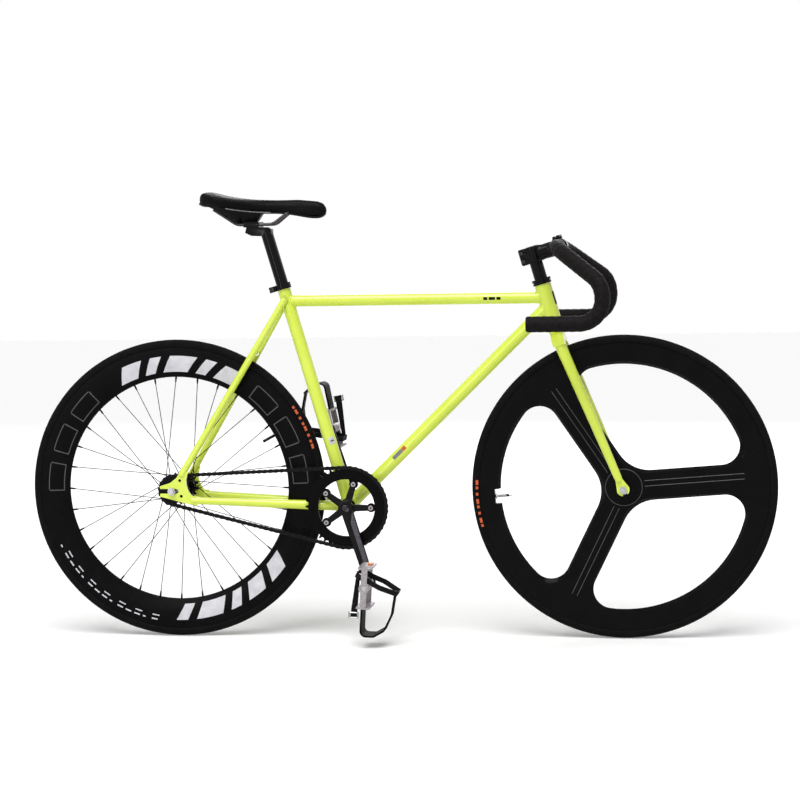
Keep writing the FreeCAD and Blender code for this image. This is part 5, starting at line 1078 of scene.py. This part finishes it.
def make_crank_painted_highlights():
    """A painted highlight: a pale grey strip along the front edge of each crank, where light
    catches its bevel.
    """
    shape = Shape()
    for side in SIDES:
        along = polar(CRANK_WAY, 1) * -side
        front = Vector((-along.z, 0, along.x))
        rings = []
        for k in range(HIGHLIGHT_STEPS + 1):
            reach = HIGHLIGHT_START + HIGHLIGHT_LENGTH * k / HIGHLIGHT_STEPS
            half = (CRANK_WIDE - CRANK_TAPER * reach / CRANK) / 2 - 1.6
            face = CRANK_FACE + CRANK_LEAN * reach / CRANK
            inner = HIGHLIGHT_INNER
            if k < 2:
                inner += (half - 3) * (2 - k) / 2
            section = ((inner, -1.5), (half, -1.5), (half, 0.1), (inner, 0.8))
            rings.append([BRACKET + along * reach + front * across
                          + ACROSS * (side * (face + lift)) for across, lift in section])
        shape.skin(rings)
    shape.piece("crank_painted_highlights", "crankset", ["painted_highlight_grey"], 40)


def socket_cap(shape, start, way, radius, height, key):
    """A rounded bolt cap with a hexagon socket."""
    way, across, other = square_to(way)
    sixth = math.pi / 6

    def ring(size, level, hexagon=False):
        points = []
        for k in range(24):
            turn = TURN * k / 24
            reach = size
            if hexagon:
                reach = size * math.cos(sixth) / math.cos((turn + sixth) % (math.pi / 3) - sixth)
            points.append(start + way * level + spin(across, other, turn) * reach)
        return points

    shape.skin([ring(radius, 0), ring(radius, height * 0.75), ring(radius * 0.93, height),
                ring(key, height, True), ring(key, height * 0.1, True), ring(key * 0.2, 0, True)])


RING_BOLTS = 5
RING_BOLT_CIRCLE = 55
# How far a cap reaches into the bolt head under it
CAP_SINK = 0.2


def make_bolt_caps():
    """Socket caps over the plain heads of the crank, ring and collar bolts."""
    crank = Shape()
    for side in SIDES:
        socket_cap(crank, BRACKET + ACROSS * (side * 64.6), ACROSS * side, 6.4, 2.6, 3.6)
    crank.piece("crank_bolt_caps", "crankset", ["rail_steel"])
    low = corners("chainring_bolts")[0]
    ring = Shape()
    for k in range(RING_BOLTS):
        spot = BRACKET + polar(CRANK_WAY + 360 / RING_BOLTS * k, RING_BOLT_CIRCLE)
        socket_cap(ring, Vector((spot.x, low.y + CAP_SINK, spot.z)), -ACROSS, 5.2, 1.3, 2.5)
    ring.piece("ring_bolt_caps", "crankset", ["grey_alloy"])
    low, high = corners("seat_collar_bolt")
    spot = Vector(((low.x + high.x) / 2, low.y + CAP_SINK, (low.z + high.z) / 2))
    collar = Shape()
    socket_cap(collar, spot, -ACROSS, 4.3, 1.2, 2)
    collar.piece("collar_bolt_cap", "frame", ["rail_steel"])


# Pedals

PEDAL_START = 80
PEDAL_HALF = 43
CAGE_HALF = 12.6
TEETH = 9
TOOTH_STEP = 9
TOOTH_HALF_DEEP = 1.9
# Height and half width of a tooth's foot and tip
TOOTH_LEVELS = ((0, 3.6), (2.6, 2))
BOX_FACES = [[0, 3, 2, 1], [4, 5, 6, 7], [0, 1, 5, 4], [1, 2, 6, 5], [2, 3, 7, 6], [3, 0, 4, 7]]
# How far out, half width and half height of the rings of a lens
LENS_LEVELS = ((0.2, 14, 6), (3.2, 14, 6), (4.6, 12.5, 5), (5, 10, 3))
LENS_SIDES = 24
LENS_CORNER = 0.35
# Along the foot, across and up from the pedal's middle
LENS_PLACE = (-44.7, -20, 5)
BUCKLE_PLACE = (63.5, 14.5, -23)
BUCKLE_HALVES = (5.4, 9.6)
BUCKLE_CORNER = 0.3
BUCKLE_WIRE = 1.75
BUCKLE_STEPS = 40


def make_pedal_details(name, side, body):
    """Toothed cage edges, an amber lens and the strap's buckle."""
    eye = BRACKET + polar(CRANK_WAY + (0 if side < 0 else 180), CRANK)
    toe = polar(PEDAL_REST[side], 1)
    sole = Vector((-toe.z, 0, toe.x))
    middle = eye + ACROSS * (side * (PEDAL_START + PEDAL_HALF))
    teeth = Shape()
    for end in SIDES:
        for face in SIDES:
            base = middle + toe * (end * PEDAL_HALF) + sole * (face * CAGE_HALF)
            for k in range(TEETH):
                centre = base + ACROSS * (TOOTH_STEP * (k - (TEETH - 1) / 2))
                points = []
                for level, half in TOOTH_LEVELS:
                    for x, y in SQUARE:
                        points.append(centre + toe * (x * TOOTH_HALF_DEEP) + ACROSS * (y * half)
                                      + sole * (face * level))
                teeth.add(points, BOX_FACES if face > 0 else [f[::-1] for f in BOX_FACES])
    teeth.piece(name + "_teeth", body, ["grey_alloy"], 30)
    lens = Shape()
    rings = []
    along, across, up = LENS_PLACE
    for out, half_wide, half_high in LENS_LEVELS:
        start = middle + toe * (along - out)
        outline = []
        for k in range(LENS_SIDES):
            x, y = soft_square(TURN * k / LENS_SIDES, half_wide, half_high, LENS_CORNER)
            outline.append(start + ACROSS * (x + across * side) + sole * (y + up))
        rings.append(outline[::-1])
    lens.skin(rings)
    lens.piece(name + "_lens", body, ["amber_lens"], 30)
    buckle = Shape()
    along, across, up = BUCKLE_PLACE
    centre = middle + toe * along + sole * up + ACROSS * (side * across)
    path = []
    for k in range(BUCKLE_STEPS):
        x, y = soft_square(TURN * k / BUCKLE_STEPS, *BUCKLE_HALVES, BUCKLE_CORNER)
        path.append(centre + toe * x + sole * y)
    buckle.tube(path, BUCKLE_WIRE, loop=True)
    buckle.piece(name + "_buckle", body, ["bright_steel"], 60)


# Set and light, in metres

FLOOR_HALF = 14
FLOOR_LEVEL = -0.0005
FLOOR_GLOW = 0.08
WORLD_LIGHT = 0.12
WORLD_SEEN = 1.0
SUN_POWER = 2.85
SUN_ANGLE = 46
SUN_WAY = Vector((0.03, 0.55, -1))
# Name, width, height, power and place of each panel lamp
PANELS = (("strip", 0.5, 2.4, 26, Vector((-1.5, -3.4, 1.6))),
          ("fill", 3, 2, 80, Vector((0.4, 4.4, 2.6))))
PANEL_AIM = Vector((0, 0, 0.5))
CAMERA_PLACE = Vector((0.672, -4.953, 0.905))
# Yaw, pitch and roll
CAMERA_TURNS = (-7.65, -4.31, -1.01)
CAMERA_LENS = 101.97
CAMERA_SENSOR = 36


def make_floor():
    """A pale floor that keeps the object's shadow."""
    data = bpy.data.meshes.new("floor")
    data.from_pydata([(x * FLOOR_HALF, y * FLOOR_HALF, FLOOR_LEVEL) for x, y in SQUARE],
                     [], [(0, 1, 2, 3)])
    floor = add_object("floor", data)
    material = bpy.data.materials.new("floor")
    material.use_nodes = True
    tree = material.node_tree
    tree.nodes.clear()
    out = add_node(tree, "OutputMaterial")
    diffuse = add_node(tree, "BsdfDiffuse", color=(0.95, 0.95, 0.95, 1))
    glow = add_node(tree, "Emission", color=(1, 1, 1, 1))
    both = add_node(tree, "AddShader")
    path = add_node(tree, "LightPath")
    seen = add_node(tree, "Math")
    seen.operation = "MULTIPLY"
    seen.inputs[1].default_value = FLOOR_GLOW
    for start, end in ((path.outputs["Is Camera Ray"], seen.inputs[0]),
                       (seen.outputs[0], glow.inputs["Strength"]),
                       (diffuse.outputs[0], both.inputs[0]),
                       (glow.outputs[0], both.inputs[1]),
                       (both.outputs[0], out.inputs["Surface"])):
        tree.links.new(start, end)
    floor.data.materials.append(material)


def make_world():
    """A white surround that is seen and mirrored, and gives a little light."""
    world = bpy.data.worlds.new("studio")
    scene.world = world
    world.use_nodes = True
    tree = world.node_tree
    background = tree.nodes["Background"]
    background.inputs["Color"].default_value = (1, 1, 1, 1)
    path = add_node(tree, "LightPath")
    total = path.outputs["Is Camera Ray"]
    for extra in ("Is Glossy Ray", "Is Transmission Ray"):
        add = add_node(tree, "Math")
        add.operation = "MAXIMUM"
        tree.links.new(total, add.inputs[0])
        tree.links.new(path.outputs[extra], add.inputs[1])
        total = add.outputs[0]
    level = add_node(tree, "MapRange", to_min=WORLD_LIGHT, to_max=WORLD_SEEN)
    tree.links.new(total, level.inputs["Value"])
    tree.links.new(level.outputs["Result"], background.inputs["Strength"])


def make_lamps():
    """A wide soft sun, a strip for the highlights and a fill from behind."""
    lamp = bpy.data.lights.new("sun", "SUN")
    set_all(lamp, energy=SUN_POWER, angle=math.radians(SUN_ANGLE))
    sun = add_object("sun", lamp)
    sun.rotation_euler = SUN_WAY.to_track_quat("-Z", "Y").to_euler()
    for name, wide, high, power, place in PANELS:
        lamp = bpy.data.lights.new(name, "AREA")
        set_all(lamp, shape="RECTANGLE", size=wide, size_y=high, energy=power)
        panel = add_object(name, lamp)
        panel.location = place
        panel.rotation_euler = (PANEL_AIM - place).to_track_quat("-Z", "Y").to_euler()


def make_camera():
    """The camera of the photograph."""
    yaw, pitch, roll = (math.radians(angle) for angle in CAMERA_TURNS)
    forward = Vector((math.sin(yaw) * math.cos(pitch), math.cos(yaw) * math.cos(pitch),
                      math.sin(pitch)))
    right = Vector((math.cos(yaw), -math.sin(yaw), 0))
    up = right.cross(forward)
    turn = Matrix((spin(right, up, roll), spin(up, -right, roll), -forward)).transposed().to_4x4()
    lens = bpy.data.cameras.new("camera")
    lens.sensor_width = CAMERA_SENSOR
    lens.lens = CAMERA_LENS
    camera = add_object("camera", lens)
    camera.matrix_world = Matrix.Translation(CAMERA_PLACE) @ turn
    scene.camera = camera
    scene.view_settings.view_transform = "Standard"


dress_nodes()
make_tyre("rear_tyre", REAR, "rear_wheel", 26)
make_tyre("front_tyre", FRONT, "front_wheel", 187)
make_rim_marks()
make_spokes()
make_arm_painted_highlights()
make_valve("rear_valve", REAR, "rear_wheel", 28, 221, 254, "black_steel")
make_valve("front_valve", FRONT, "front_wheel", 184, 247, 282, "bright_steel")
make_chain()
make_tape()
make_saddle()
make_welds()
make_top_tube_mark()
make_labels()
make_crank_painted_highlights()
make_bolt_caps()
make_pedal_details("right_pedal", -1, "pedal_right")
make_pedal_details("left_pedal", 1, "pedal_left")
make_floor()
make_world()
make_lamps()
make_camera()
